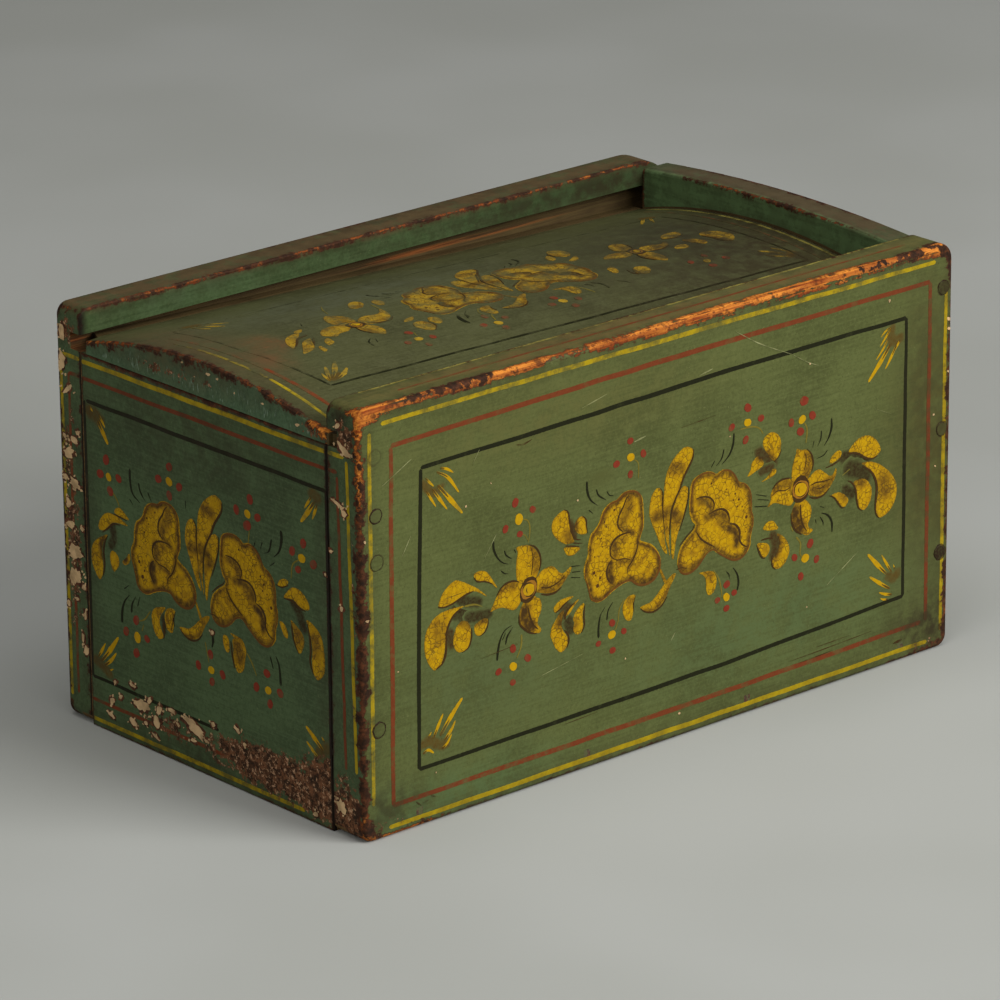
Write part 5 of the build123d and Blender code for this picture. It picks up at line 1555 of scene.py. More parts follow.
front_paint = painted(
    "front_board_paint", FRONT_TONES, 0, (front_low, front_high),
    wear=[
        ((60, FRONT, TOP), (230, 9, 10), 4.4),
        ((-110, FRONT, TOP), (70, 8, 9), 3.0),
        ((LEFT + 5, FRONT, TOP), (17, 12, 15), 6.0),
        ((LEFT, FRONT, 90), (10, 13, 190), 2.7),
        ((LEFT, FRONT, 8), (14, 14, 22), 2.0),
        ((LEFT + 16, FRONT, 0), (34, 6, 8), 2.2),
        ((RIGHT - 4, FRONT, TOP), (24, 10, 18), 4.4),
        ((RIGHT, FRONT, 100), (9, 9, 120), 2.6),
        ((RIGHT, FRONT, 16), (14, 9, 44), 3.8),
        ((RIGHT - 6, FRONT, 0), (24, 9, 10), 3.4),
    ],
    scorched=[
        ((LEFT, FRONT, 74), (30, 30, 118), 1.8),
        ((LEFT, INNER_FRONT, 84), (10, 14, 160), 3.0),
        ((RIGHT, INNER_FRONT, 84), (10, 14, 160), 3.0),
        ((0, INNER_FRONT, TOP), (220, 6, 8), 2.0),
        ((-116, FRONT, TOP), (38, 12, 8), 0.85),
        ((RIGHT - 22, FRONT, TOP), (54, 14, 10), 0.66),
        ((RIGHT, FRONT, 96), (20, 20, 136), 2.4),
        ((RIGHT, FRONT, 4), (46, 20, 22), 1.2),
        ((20, FRONT, 0), (200, 12, 12), 1.4),
    ],
    losses=[
        ((LEFT, FRONT + 12, 4), (8, 40, 48), 0.72),
        ((LEFT, FRONT + 3, 90), (5, 10, 120), 0.46),
        ((LEFT + 12, FRONT, 4), (30, 8, 14), 0.44),
        ((RIGHT - 8, FRONT, 3), (34, 8, 11), 0.46),
        ((LEFT, FRONT + 8, TOP - 12), (6, 14, 16), 0.60),
    ],
    grime_and_shade=[
        ((RIGHT - 10, FRONT, 12), (50, 20, 30), 0.70),
        ((RIGHT - 16, FRONT, 100), (26, 20, 150), 0.36),
        ((LEFT + 8, FRONT, 12), (50, 20, 22), 0.55),
        ((LEFT, FRONT + 12, TOP - 8), (20, 20, 14), 0.85),
        ((0, FRONT, 0), (220, 20, 11), 0.34),
        ((0, FRONT, TOP), (240, 9, 16), 0.24),
        ((0, FRONT + 12, TOP), (220, 9, 9), 0.34),
        ((RIGHT - 4, FRONT, 100), (13, 20, 130), 0.42),
        ((LEFT, INNER_FRONT, 84), (4, 2.2, 150), 1.3),
    ],
    patches=[
        ((0, FRONT + 11, TOP), (260, 16, 4), 1.4, FRONT_BROWN),
        ((-60, FRONT, 160), (150, 4, 30), 0.5, linear(94, 90, 46)),
        ((RIGHT, FRONT, 100), (70, 4, 130), 0.9, linear(80, 78, 38)),
        ((60, FRONT, 40), (150, 4, 40), 0.5, linear(80, 98, 60)),
        ((-100, FRONT, 60), (80, 4, 60), 0.4, linear(80, 94, 58)),
        ((LEFT + 40, FRONT, 8), (110, 4, 22), 0.6, linear(82, 104, 64)),
        ((-38, FRONT, 128), (14, 4, 7), 0.5, linear(74, 74, 34)),
    ],
    inside=inside_side_board,
    pegs=FRONT_PEGS + TALL_PEGS,
    ends=(END_TONES, LEFT),
    seams=[((LEFT, INNER_FRONT, 90), (6, 1.7, 260), 1.5)],
)
back_paint = painted(
    "back_board_paint", BACK_TONES, 0, (back_low, back_high),
    wear=[
        ((0, INNER_BACK, TOP), (300, 4, 5), 0.75),
        ((0, BACK, TOP), (260, 7, 9), 1.2),
        ((LEFT, BACK, TOP), (12, 12, 14), 2.0),
        ((RIGHT, BACK, TOP), (30, 14, 20), 2.4),
        ((LEFT, BACK, 90), (8, 9, 150), 1.6),
        ((LEFT, BACK, 0), (20, 12, 20), 2.4),
    ],
    scorched=[
        ((0, BACK, TOP), (300, 10, 12), 2.0),
        ((0, INNER_BACK, TOP), (400, 6, 8), 0.72),
        ((LEFT, BACK, 90), (14, 14, 150), 2.4),
        ((LEFT, INNER_BACK, TOP), (40, 10, 10), 1.0),
        ((RIGHT, BACK, 90), (14, 14, 150), 1.8),
        ((0, BACK, 0), (220, 12, 12), 1.4),
        ((LEFT, INNER_BACK, 84), (10, 12, 160), 3.0),
        ((RIGHT, INNER_BACK, 84), (10, 12, 160), 3.0),
    ],
    losses=[
        ((LEFT, BACK - 8, 90), (9, 14, 130), 0.54),
        ((LEFT, BACK - 9, 176), (6, 14, 16), 0.60),
        ((RIGHT, BACK - 6, 20), (12, 14, 40), 0.42),
    ],
    grime_and_shade=[
        ((0, BACK, 0), (220, 20, 26), 0.45),
        ((RIGHT, BACK, 20), (60, 20, 50), 0.45),
        ((0, BACK - 5, TOP), (260, 12, 4), 0.45),
        # Painted shade: the back board's inner face above the lid darkens towards the tall end
        ((RIGHT, INNER_BACK, 180), (300, 8, 12), 0.66),
        ((LEFT, INNER_BACK, 84), (4, 2.2, 150), 1.3),
    ],
    patches=[
        ((0, BACK - 8, TOP + 1), (420, 26, 6), 1.7, TOP_BROWN),
        # Painted light and shade on the same inner face: paler to the left, darker to the right
        ((-110, INNER_BACK, 182), (60, 4, 12), 0.5, linear(80, 100, 66)),
        ((120, INNER_BACK, 182), (90, 4, 12), 0.5, linear(48, 64, 38)),
    ],
    ends=(END_TONES, LEFT),
    inside=inside_side_board,
    pegs=[(x, z, 0.10, 0.7) for x, z, inner, outer in FRONT_PEGS + TALL_PEGS],
    seams=[((LEFT, INNER_BACK, 90), (6, 1.5, 260), 1.4)],
    rubs=[
        ((LEFT, INNER_BACK + 4, 172), (16, 9, 8), 1.6),
        ((22, INNER_BACK + 5, 169.8), (62, 7, 1.8), 1.3),
        ((70, INNER_BACK + 5, 169), (60, 7, 1.2), 0.8),
        ((-110, INNER_BACK + 5, 173), (36, 7, 1.4), 0.7),
    ],
    rim=0.6,
)
low_end_paint = painted(
    "low_end_board_paint", END_TONES, 1, (low_end_low, low_end_high),
    wear=[((LEFT, 0, low_end_high.z), (6, 110, 4), 0.9)],
    scorched=[
        ((LEFT, 0, 168), (14, 140, 12), 2.4),
        ((LEFT, 0, 0), (10, 140, 12), 1.6),
        ((LEFT, INNER_FRONT, 84), (10, 12, 160), 3.0),
        ((LEFT, INNER_BACK, 84), (10, 12, 160), 3.0),
    ],
    losses=[
        ((LEFT, FRONT + 54, 15), (8, 98, 21), 0.84),
        ((LEFT, FRONT + 24, 16), (8, 48, 30), 0.9),
        ((LEFT, BACK - 70, 14), (8, 60, 14), 0.50),
        ((LEFT, BACK - 18, 90), (6, 5, 90), 0.34),
    ],
    grime_and_shade=[
        ((LEFT, 0, 2), (20, 120, 20), 0.45),
        ((LEFT, 0, 168), (20, 130, 5), 0.9),
        # Darker towards the top of the low end: old soiling, with painted shade under the lid
        ((LEFT, 10, 150), (20, 120, 44), 0.40),
        ((LEFT, INNER_FRONT, 84), (4, 1.8, 150), 1.3),
        ((LEFT, INNER_BACK, 84), (4, 1.8, 150), 1.3),
    ],
    inside=inside_low_end,
    rim=0.35,
    seams=[((LEFT, INNER_FRONT, 90), (6, 1.7, 260), 1.5), ((LEFT, INNER_BACK, 90), (6, 1.5, 260), 1.4)],
)
tall_end_paint = painted(
    "tall_end_board_paint", END_TONES, 1, (tall_end_low, tall_end_high),
    wear=[((RIGHT, 0, TOP), (8, 120, 7), 1.3), ((152.5, 0, TOP), (5, 140, 8), 0.7)],
    scorched=[
        ((162, 0, TOP), (18, 150, 12), 1.3),
        ((RIGHT, 0, 0), (10, 110, 12), 1.4),
        ((RIGHT, INNER_FRONT, 84), (10, 12, 160), 3.0),
        ((RIGHT, INNER_BACK, 84), (10, 12, 160), 3.0),
        ((152.5, INNER_BACK, 176), (8, 10, 20), 3.0),
        ((152.5, INNER_FRONT, 176), (8, 10, 20), 3.0),
    ],
    losses=[((RIGHT, 10, 6), (8, 90, 18), 0.50)],
    # The second spot is painted shade: a darker band on the tall end's inner face just above the lid
    grime_and_shade=[((RIGHT, 0, 4), (20, 120, 26), 0.45), ((152.5, 0, 172), (4, 120, 14), 0.5)],
    patches=[
        ((160, 0, TOP + 1), (40, 260, 6), 2.4, TALL_BROWN),
        ((152.5, 0, 176), (4, 260, 30), 1.3, linear(92, 116, 74)),
    ],
    inside=inside_tall_end,
    rim=0.5,
)
lid_paint = painted(
    "lid_paint", LID_TONES, 0, None,
    wear=[
        ((LEFT, 0, 178), (9, 130, 26), 1.45),
        ((LEFT, -77, 173), (12, 12, 10), 3.4),
        ((LEFT, 60, 176), (10, 34, 12), 0.8),
    ],
    scorched=[
        ((LEFT, 10, 180), (14, 130, 30), 0.95),
        ((150, 0, 176), (14, 130, 30), 3.0),
    ],
    losses=[((LEFT, 20, 174), (4, 70, 8), 0.46), ((LEFT, -70, 172), (5, 16, 9), 0.62)],
    grime_and_shade=[
        ((150, 0, 175), (40, 120, 20), 0.62),
        ((150, -30, 175), (210, 130, 30), 0.62),
        ((-20, INNER_FRONT, 170), (160, 30, 16), 0.35),
        ((0, INNER_FRONT, 170), (200, 12, 12), 0.55),
        ((0, INNER_BACK, 170), (200, 12, 12), 0.55),
    ],
    patches=[
        ((LEFT + 37, INNER_FRONT + 82, 182), (15, 18, 14), 0.7, linear(116, 70, 40)),
        ((LEFT + 24, INNER_FRONT + 66, 181), (16, 18, 14), 0.7, linear(108, 72, 44)),
        # Painted sheen: a paler, bluer grey patch over the middle of the lid's top
        ((-60, 40, 180), (120, 34, 16), 0.55, linear(82, 86, 66)),
        ((LEFT + 12, 20, 180), (34, 90, 18), 0.75, linear(86, 70, 44)),
        ((130, 10, 178), (120, 100, 16), 0.9, linear(54, 54, 34)),
    ],
    ends=(LID_END_TONES, LEFT),
    inside=inside_lid,
    rim=0.3,
    hold=1.12,
    arris=lid_arris,
)


def bare_material(name, along, pale, dark):
    """Unpainted wood."""
    s = Shader(name)
    colour, height = timber(s, s.place(), along, pale, dark)
    return s.finish(colour, 0.75, s.bump(height, 0.5, 0.25), specular=0.3)


def nail_material():
    """Rusty iron, with the board's paint still on most of it."""
    s = Shader("nail_rust")
    place = s.place()
    rust = s.noise(place, 0.9, 4.0, 0.65)
    film = s.noise(place, 2.4, 3.0, 0.6)
    colour = s.mix(s.spread(rust, 0.36, 0.64), linear(44, 33, 24), linear(92, 58, 34))
    colour = s.mix(s.spread(film, 0.38, 0.52, 0.0, 0.9), colour, linear(78, 82, 44))
    return s.finish(colour, 0.7, s.bump(rust, 0.6, 0.2), specular=0.4)


bottom_wood = bare_material("bottom_wood", 0, linear(126, 98, 62), linear(66, 48, 30))
rusty = nail_material()
board_looks = {
    "front_board": front_paint, "back_board": back_paint, "low_end_board": low_end_paint,
    "tall_end_board": tall_end_paint, "bottom_board": bottom_wood, "sliding_lid": lid_paint,
    "front_low_end_pegs": front_paint, "front_tall_end_pegs": front_paint,
    "back_low_end_pegs": back_paint, "back_tall_end_pegs": back_paint,
    "front_bottom_nails": rusty, "back_bottom_nails": rusty,
}
for node, look in board_looks.items():
    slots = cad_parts[node].data.materials
    slots.clear()
    slots.append(look)

# Lining stripes: points, width, ink and how well each lasted
FRONT_STRIPES = [
    ([(12, 179), (120, 179.8), (326, 179.6)], 2.0, OLD_YELLOW, 0.63),
    ([(332.6, 169), (332.4, 8)], 2.0, OLD_YELLOW, 0.80),
    ([(13, 4.3), (324, 4.9)], 2.1, OLD_YELLOW, 0.96),
    ([(5.9, 176.5), (5.6, 100), (5.0, 16)], 2.0, OLD_YELLOW, 0.56),
    ([(17, 168.5), (160, 170.9), (322.8, 171.3)], 2.2, LINE_RED, 0.88),
    ([(322.8, 171), (323, 15)], 2.2, LINE_RED, 0.70),
    ([(15.2, 13.4), (200, 13.8), (320, 15)], 2.2, LINE_RED, 0.76),
    ([(17, 168), (15.6, 13.2)], 2.2, LINE_RED, 0.74),
    ([(32.6, 155.5), (100, 156.2), (200, 158.1), (308.5, 158.1)], 2.0, BLACK, 1.0),
    ([(308.5, 158.1), (308.6, 30.1)], 1.9, BLACK, 1.0),
    ([(29.6, 25.4), (100, 25.7), (200, 26.6), (308.6, 30.1)], 1.9, BLACK, 1.0),
    ([(29.6, 25.4), (30.4, 80), (32.6, 155)], 2.0, BLACK, 1.0),
]
BACK_STRIPES = [
    ([(9, 178.6), (328, 178.6)], 2.0, OLD_YELLOW, 0.8),
    ([(4.8, 174), (4.8, 8)], 2.0, OLD_YELLOW, 0.55),
    ([(9, 4.6), (328, 4.6)], 2.0, OLD_YELLOW, 0.62),
    ([(332, 174), (332, 8)], 2.0, OLD_YELLOW, 0.55),
    ([(15, 169.5), (322, 169.5), (322, 15), (15, 15), (15, 169.5)], 1.6, LINE_RED, 0.85),
    ([(30, 157), (307, 157), (307, 28), (30, 28), (30, 157)], 1.5, BLACK, 0.9),
]
BOARD_TOP_STRIPES = [
    ([(30, 10.4), (318, 10.9)], 1.2, LINE_RED, 0.62),
    ([(16, 18.7), (322, 18.7)], 1.0, PALE_LINE, 0.62),
]
# The stripes on the low ends of the front and back boards
FRONT_END_STRIPES = [
    ([(184.5, 156), (187, 30)], 1.7, LINE_RED, 0.78),
    ([(190.5, 164), (193.6, 30)], 1.9, OLD_YELLOW, 0.80),
    ([(178.6, 165.2), (189, 165.4)], 1.9, OLD_YELLOW, 0.6),
    ([(178.6, 157.6), (184.5, 157.8)], 1.7, LINE_RED, 0.8),
]
BACK_END_STRIPES = [
    ([(3.4, 165), (3.5, 10)], 1.9, OLD_YELLOW, 0.66),
    ([(8.4, 157), (8, 12)], 1.7, LINE_RED, 0.7),
    ([(4, 164.5), (16.4, 164.6)], 1.9, OLD_YELLOW, 0.6),
    ([(8.4, 157), (16.4, 157)], 1.7, LINE_RED, 0.7),
]
END_STRIPES = [
    ([(17.6, 164.3), (177.4, 164.9)], 2.1, OLD_YELLOW, 0.86),
    ([(17.6, 157), (177.4, 157.6)], 1.8, LINE_RED, 0.95),
    ([(20, 147.4), (177.2, 148)], 1.9, BLACK, 1.0),
    ([(18.8, 147.4), (18.6, 23)], 1.5, BLACK, 0.9),
    ([(18.6, 23), (104, 23)], 1.6, BLACK, 0.9),
    ([(17.6, 12.5), (125, 12.8)], 1.7, LINE_RED, 0.7),
    ([(17.6, 3.6), (160, 3.8)], 1.9, OLD_YELLOW, 0.72),
    ([(177.2, 148), (177.4, 24)], 1.6, BLACK, 1.0),
]
TALL_END_STRIPES = [
    ([(20.6, 177), (60, 179.6), (98, 181), (138, 179.6), (177.4, 177)], 1.9, OLD_YELLOW, 0.7),
    ([(20.6, 169), (60, 171), (98, 172), (138, 171), (177.4, 169)], 1.7, LINE_RED, 0.85),
    ([(22, 156), (176, 156)], 1.4, BLACK, 0.9),
    ([(22, 156), (22, 25)], 1.4, BLACK, 0.9),
    ([(176, 156), (176, 25)], 1.4, BLACK, 0.9),
    ([(22, 25), (176, 25)], 1.4, BLACK, 0.85),
    ([(20.6, 13), (177.4, 13)], 1.7, LINE_RED, 0.75),
    ([(20.6, 4.4), (177.4, 4.4)], 1.9, OLD_YELLOW, 0.6),
]
LID_STRIPES = [
    ([(29, 31), (175, 33.2), (304, 35.8)], 1.3, BLACK, 1.2),
    ([(28.6, 31.4), (26, 54)], 1.2, BLACK, 0.95),
    ([(26, 54), (22.6, 84), (24, 128)], 1.0, BLACK, 0.55),
    ([(304, 36), (302, 75), (301, 127)], 1.2, BLACK, 0.95),
    ([(24, 129), (160, 131.4), (301, 128)], 1.1, BLACK, 0.6),
    ([(9, 8), (10.4, 48)], 1.7, OLD_YELLOW, 1.0),
    ([(10.4, 48), (9.6, 110)], 1.6, OLD_YELLOW, 0.40),
    ([(16.6, 14), (16, 58)], 2.2, LINE_RED, 0.95),
    ([(16, 58), (15, 120)], 1.8, LINE_RED, 0.40),
    ([(317.4, 6), (317, 80), (316.6, 154)], 1.5, PALE_LINE, 1.1),
    ([(310.4, 8), (310, 150)], 1.5, LINE_RED, 0.45),
]

# Flakes on the low end, as across, up, half length, half width and turn in degrees
END_FLAKES = [
    (52, 19, 4.6, 2.9, 10), (62, 14.5, 2.6, 2.9, 0), (64, 20.4, 2.2, 1.9, 30),
    (87.5, 19.5, 7.4, 2.8, -20), (72.5, 22.5, 2.2, 1.1, 0), (30.5, 8.5, 2.5, 1.0, -20),
    (31.5, 15, 1.7, 1.7, 0), (46, 9.5, 2.6, 1.7, -15), (61, 7.5, 2.8, 0.8, -20),
    (87, 13.3, 2.2, 0.9, 0), (46, 26.5, 2.6, 0.8, -15), (100.5, 24.5, 1.7, 1.2, 0),
    (57.4, 22.6, 1.8, 1.2, 40), (76.6, 17.4, 1.6, 0.8, -30), (37.6, 18.6, 1.5, 0.9, 60),
    (54.6, 11.6, 1.6, 1.0, 10), (34, 24.4, 1.2, 0.8, 0), (95.6, 15.6, 1.2, 0.8, 0),
    (116.5, 27, 2.2, 1.0, -25), (121, 21.6, 1.3, 0.9, 0), (183.5, 13, 3.2, 2.8, 20),
    (167, 4.4, 1.5, 1.2, 0), (189, 168.6, 4.2, 1.8, -38), (185.6, 178, 1.8, 1.2, 60),
    (3.6, 161, 2.4, 4.4, 0), (7.5, 149.5, 3.6, 1.2, 40), (7, 121, 3.6, 2.2, 10),
    (11, 127.5, 2.8, 1.5, -10), (10.5, 108, 4.2, 2.0, -15), (3.4, 109.5, 2.0, 1.6, 0),
    (5.5, 98, 2.0, 2.4, 0), (6.5, 88.5, 3.2, 2.0, 0), (14.4, 88.5, 1.6, 1.1, 0), (9, 77, 5.4, 2.9, 0),
    (8.6, 65.6, 4.4, 3.6, 10), (14.4, 62, 1.5, 1.5, 0), (9.5, 55.5, 1.0, 0.9, 0), (3, 52, 1.2, 1.6, 0),
    (14.8, 49.5, 1.1, 2.0, 0), (12.5, 38.5, 0.9, 2.2, 0), (14.6, 33, 1.6, 2.6, 0),
    (4.5, 174.4, 2.2, 3.2, 0), (13.6, 131.4, 1.4, 1.0, 0), (4.4, 128, 1.3, 1.0, 0),
    (186, 100, 1.2, 1.1, 0), (180, 123, 0.9, 0.8, 0), (101.5, 65.9, 1.1, 1.0, 0),
    (184.6, 144.6, 4.6, 0.7, -16), (188.6, 141.4, 1.8, 1.6, 0), (176, 112, 0.7, 0.7, 0),
]

# Thin pale scratches of the front, and its small flakes
FRONT_SCRATCHES = [
    ([(207, 174.5), (222, 165.5), (240, 157)], 0.5), ([(240, 157), (249, 151.6), (256, 148.4)], 0.4),
    ([(120, 160.6), (134, 163.6)], 0.5), ([(149, 139), (156, 140.2)], 0.8),
    ([(66, 108), (74, 119)], 0.35), ([(12, 152.5), (28, 160.6)], 0.45),
    ([(186, 159.6), (194, 161)], 0.7), ([(262, 47), (281, 58)], 0.35), ([(96, 48.6), (120, 52.4)], 0.3),
    ([(22, 120), (27, 128)], 0.35), ([(290, 121), (301, 116)], 0.3), ([(60, 150), (64, 156)], 0.3),
    ([(170, 45), (173, 49)], 0.4),
]
FRONT_SCUFFS = [
    ([(240, 17.4), (262, 17.8), (290, 18.6)], 0.45), ([(246, 15.2), (266, 15.8)], 0.4),
    ([(256, 19.8), (276, 20.2)], 0.35), ([(84, 153.2), (88, 152.6), (92.6, 153.6)], 0.8),
    ([(27.6, 11.6), (30.4, 9.2)], 0.6), ([(31.4, 10), (34.6, 10.6)], 0.8),
    ([(35.6, 12.4), (38.2, 11)], 0.7), ([(303, 9.2), (308.6, 9.8)], 1.3),
    ([(110, 23.6), (128, 24.2)], 0.3), ([(64, 65), (84, 66.2)], 0.25), ([(176, 139), (196, 140)], 0.25),
    ([(44, 96), (56, 96.6)], 0.25),
]
FRONT_FLAKES = [
    (117.5, 121, 0.5), (56.4, 133.3, 0.6), (298, 168, 0.8), (250.8, 150.3, 0.5), (204, 128.6, 0.4),
    (175, 11, 0.7), (70, 140, 0.4), (144, 44, 0.4), (326, 110, 0.6), (327.4, 86, 0.5), (250, 40, 0.4),
    (38.6, 21.6, 0.4), (19, 71, 0.4), (334.4, 152, 1.3), (334.8, 147.5, 1.1), (334.6, 128, 0.6),
    (3.2, 97, 0.9), (2.6, 131, 0.7),
]
# The lid's low end: the foot of its face, its scrapes and its flakes
LID_FOOT = 169.6
SCRAPES = 120
LID_FLAKES = [
    (103, 179.4, 1.7, 0.6), (109, 178.8, 0.9, 0.5), (138, 175.4, 1.0, 0.4), (86, 180.4, 0.8, 0.4),
    (160, 171.8, 1.3, 0.8), (120, 175.4, 0.5, 0.4), (94, 176.2, 0.5, 0.3),
]
# How the heart is moved on the ends, and how wide the tall end is
END_HEART_SHIFT = (-73, -2.5)
END_WIDTH = 198
# On the lid the heart is squeezed in height, and moved aside and up to the middle of the lid
LID_SQUEEZE = 0.85
LID_HEART_ASIDE = -5.5
LID_HEART_UP = 66
FRONT_HEART_UP = 72


def paint_flakes(film, flakes):
    """Lost paint: brown wood at the edge of each patch, the pale ground in it, and crumbs round it."""
    for across, up, half_long, half_wide, turn in flakes:
        angle = math.radians(turn)
        middle = (across + dice.uniform(-0.3, 0.3), up + dice.uniform(-0.3, 0.3))
        film.flake_patch(middle, half_long + 0.8, half_wide + 0.7, angle, 0.5, 0.18)
        film.flake_patch((across, up), half_long, half_wide, angle, 1.0, 0.22)
        for crumb in range(int(1.3 * (half_long + half_wide)) - 1):
            heading, away = dice.uniform(0, 2 * math.pi), dice.uniform(1.15, 1.7)
            along, aside = away * half_long * math.cos(heading), away * half_wide * math.sin(heading)
            at = (across + along, up + aside)
            size = dice.uniform(0.25, 0.6)
            low, high = film.span
            if low + 1 < at[0] < high - 1 and at[1] > 1.5:
                film.flake_patch(at, size * 1.4, size, dice.uniform(0, 3), 1.0, 0.21)


def paint_stripes(film, stripes):
    """Each lining stripe is drawn from corner to corner in one stroke."""
    for points, width, ink, cover in stripes:
        run = points[:2]
        for before, corner, after in zip(points, points[1:], points[2:]):
            old_way, new_way = np.subtract(corner, before), np.subtract(after, corner)
            if old_way @ new_way < 0.9 * np.linalg.norm(old_way) * np.linalg.norm(new_way):
                paint_stripe(film, run, width, ink, cover)
                run = [corner]
            run.append(after)
        paint_stripe(film, run, width, ink, cover)


def paint_end_spray(film, turn):
    """The spray of the two ends, with the heart of the garland moved to its place there."""
    film.turn = lambda points: turn(shifted(*END_HEART_SHIFT)(points))
    paint_heart(film)
    film.turn = turn
    paint_spray(
        film, END_GLAZES, END_PETALS, END_SMUDGES, END_LINES, END_TENDRILS, END_STEMS, END_BERRIES, (),
        END_TUFTS,
    )


def paint_marks(film, marks, ink, cover):
    """Scratches and scuffs, thin at both ends."""
    for points, width in marks:
        film.stroke(points, (0.2 * width, width, 0.2 * width), ink, 0.16, cover)


front_film = Film("front_ornament", "case", "painted_case", front_paint, on_front)
paint_stripes(front_film, FRONT_STRIPES)
paint_spray(
    front_film, FRONT_GLAZES, FRONT_PETALS, FRONT_SMUDGES, FRONT_LINES, FRONT_TENDRILS, FRONT_STEMS,
    FRONT_BERRIES, STARS, FRONT_TUFTS,
)
paint_heart(front_film, HEART_TENDRILS, HEART_STEMS)
paint_marks(front_film, FRONT_SCRATCHES, SCRATCH, 0.5)
paint_marks(front_film, FRONT_SCUFFS, UMBER, 0.62)
for across, up, size in FRONT_FLAKES:
    front_film.flake_patch((across, up), size, 0.7 * size, dice.uniform(0, 3))
front_film.face = on_board_top
paint_stripes(front_film, BOARD_TOP_STRIPES)
front_film.face = on_low_end
paint_stripes(front_film, FRONT_END_STRIPES)
front_film.span = (SEAM_FRONT, DEPTH)
paint_flakes(front_film, [flake for flake in END_FLAKES if flake[0] > SEAM_FRONT])
front_film.build()

back_film = Film("back_ornament", "case", "painted_case", back_paint, on_back)
paint_stripes(back_film, BACK_STRIPES)
back_film.face = on_low_end
paint_stripes(back_film, BACK_END_STRIPES)
back_film.span = (0, SEAM_BACK)
paint_flakes(back_film, [flake for flake in END_FLAKES if flake[0] < SEAM_BACK])
back_film.build()

low_end_film = Film("low_end_ornament", "case", "painted_end", low_end_paint, on_low_end)
paint_stripes(low_end_film, END_STRIPES)
paint_end_spray(low_end_film, unturned)
low_end_film.span = (SEAM_BACK, SEAM_FRONT)
paint_flakes(low_end_film, [flake for flake in END_FLAKES if SEAM_BACK <= flake[0] <= SEAM_FRONT])
low_end_film.build()

tall_end_film = Film("tall_end_ornament", "case", "painted_end", tall_end_paint, on_tall_end)
paint_stripes(tall_end_film, TALL_END_STRIPES)
paint_end_spray(tall_end_film, mirrored(END_WIDTH))
tall_end_film.build()

lid_film = Film("lid_ornament", "lid", "painted_lid", lid_paint, on_lid)
lid_film.yellow = LID_YELLOW
paint_stripes(lid_film, LID_STRIPES)
lid_film.turn = shifted(LID_HEART_ASIDE, LID_HEART_UP - FRONT_HEART_UP * LID_SQUEEZE, LID_SQUEEZE)
paint_heart(lid_film, HEART_TENDRILS, HEART_STEMS)
lid_film.turn = unturned
paint_spray(
    lid_film, LID_GLAZES, LID_PETALS, (), LID_LINES, LID_TENDRILS, LID_STEMS, LID_BERRIES, LID_STARS,
    LID_TUFTS,
)
# Short pale scrapes down the lid's low end
lid_film.face = on_low_end
for i in range(SCRAPES):
    across = dice.uniform(24, 174)
    top = lid_height(LEFT, BACK - across) - dice.uniform(2.5, 6)
    if top > LID_FOOT + 1.5:
        start = dice.uniform(LID_FOOT + 1, top)
        length = min(dice.uniform(1.0, 4.5), start - LID_FOOT)
        bend = (across + dice.uniform(-0.4, 0.4), start - 0.5 * length)
        widths = (0.15, dice.uniform(0.3, 0.6), 0.15)
        points = [(across, start), bend, (across, start - length)]
        lid_film.stroke(points, widths, SCRAPE, 0.08, dice.uniform(0.45, 0.9))
for across, up, half_long, half_wide in LID_FLAKES:
    lid_film.flake_patch((across, up), half_long, half_wide, 0.1, 1.0, 0.12)
lid_film.build()


# Camera
AZIMUTH, ELEVATION, ROLL = (math.radians(degrees) for degrees in (-41.198, 19.668, -0.538))
TARGET = Vector((-6.913, 0, 84.473)) * MM
DISTANCE = 2604.5 * MM
backward = Vector((
    math.sin(AZIMUTH) * math.cos(ELEVATION),
    -math.cos(AZIMUTH) * math.cos(ELEVATION),
    math.sin(ELEVATION),
))
level = Vector((math.cos(AZIMUTH), math.sin(AZIMUTH), 0))
upward = backward.cross(level)
side = level * math.cos(ROLL) + upward * math.sin(ROLL)
upward = upward * math.cos(ROLL) - level * math.sin(ROLL)
camera_data = bpy.data.cameras.new("camera")
camera_data.sensor_fit = "HORIZONTAL"
camera_data.sensor_width = 36
camera_data.lens = 217.38
camera_data.clip_start = 0.05
camera_data.clip_end = 50
camera = bpy.data.objects.new("camera", camera_data)
bpy.context.scene.collection.objects.link(camera)
facing = Matrix((side, upward, backward)).transposed().to_4x4()
camera.matrix_world = Matrix.Translation(TARGET + backward * DISTANCE) @ facing
bpy.context.scene.camera = camera


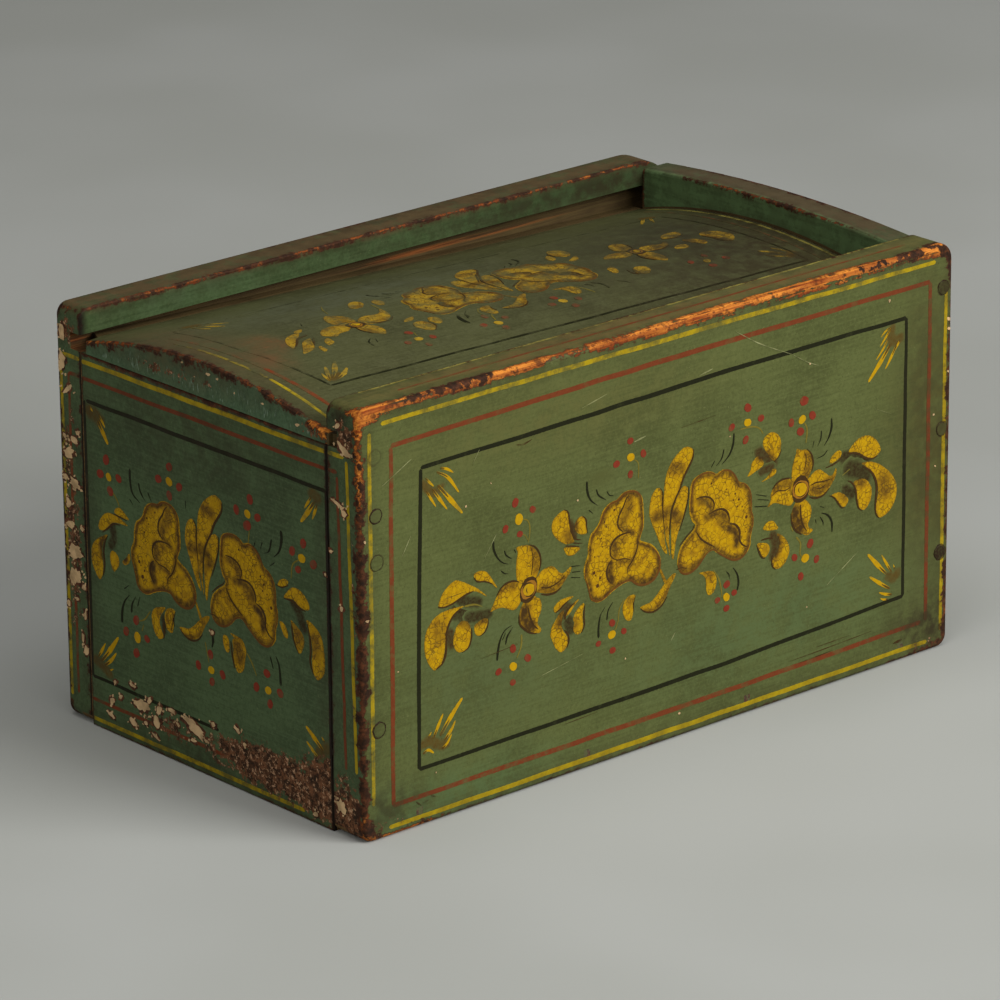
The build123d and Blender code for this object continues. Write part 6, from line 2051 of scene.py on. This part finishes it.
def lamp(name, place, size, power):
    """A square soft lamp that faces the middle of the box."""
    data = bpy.data.lights.new(name, "AREA")
    data.shape = "SQUARE"
    data.size = size
    data.energy = power
    piece = bpy.data.objects.new(name, data)
    bpy.context.scene.collection.objects.link(piece)
    piece.location = place
    aim = Vector(place) - Vector((0, 0, 0.09))
    piece.rotation_euler = aim.to_track_quat("Z", "Y").to_euler()


lamp("key", (0.85, -2.1, 1.5), 1.5, 68)
lamp("fill", (-2.2, -0.9, 1.5), 1.6, 14)
lamp("top", (-0.3, -0.4, 2.6), 1.8, 25)

world = bpy.data.worlds.new("studio")
bpy.context.scene.world = world
world.use_nodes = True
background = world.node_tree.nodes["Background"]
background.inputs["Color"].default_value = linear(205, 206, 204)
background.inputs["Strength"].default_value = 0.19


# The floor in metres: half its width, where it starts to bend up, the bend's radius, the backdrop's top
FLOOR_HALF = 6.0
BEND_AT = 3.0
BEND = 1.2
BACKDROP_TOP = 5.0


def floor_piece():
    """A plain pale floor that curves up to a backdrop far behind the box."""
    s = Shader("floor_paint")
    place = s.place()
    shade = s.noise(place, 260.0, 2.0, 0.5)
    colour = s.mix(s.spread(shade, 0.35, 0.65), linear(166, 167, 161), linear(172, 173, 168))
    grain = s.noise(place, 1.5, 2.0, 0.6)
    look = s.finish(colour, 0.85, s.bump(grain, 0.2, 0.1), specular=0.2)
    mesh = bpy.data.meshes.new("floor")
    rows = [(-FLOOR_HALF, 0.0)]
    for i in range(13):
        angle = math.radians(90 * i / 12)
        rows.append((BEND_AT + BEND * math.sin(angle), BEND - BEND * math.cos(angle)))
    rows.append((BEND_AT + BEND, BACKDROP_TOP))
    places = [(x, y, z) for y, z in rows for x in (-FLOOR_HALF, FLOOR_HALF)]
    faces = [(2 * i, 2 * i + 1, 2 * i + 3, 2 * i + 2) for i in range(len(rows) - 1)]
    mesh.from_pydata(places, [], faces)
    mesh.materials.append(look)
    for face in mesh.polygons:
        face.use_smooth = True
    floor = bpy.data.objects.new("floor", mesh)
    bpy.context.scene.collection.objects.link(floor)
    floor.rotation_euler = (0, 0, AZIMUTH)


floor_piece()

settings = bpy.context.scene.view_settings
settings.view_transform = "Standard"
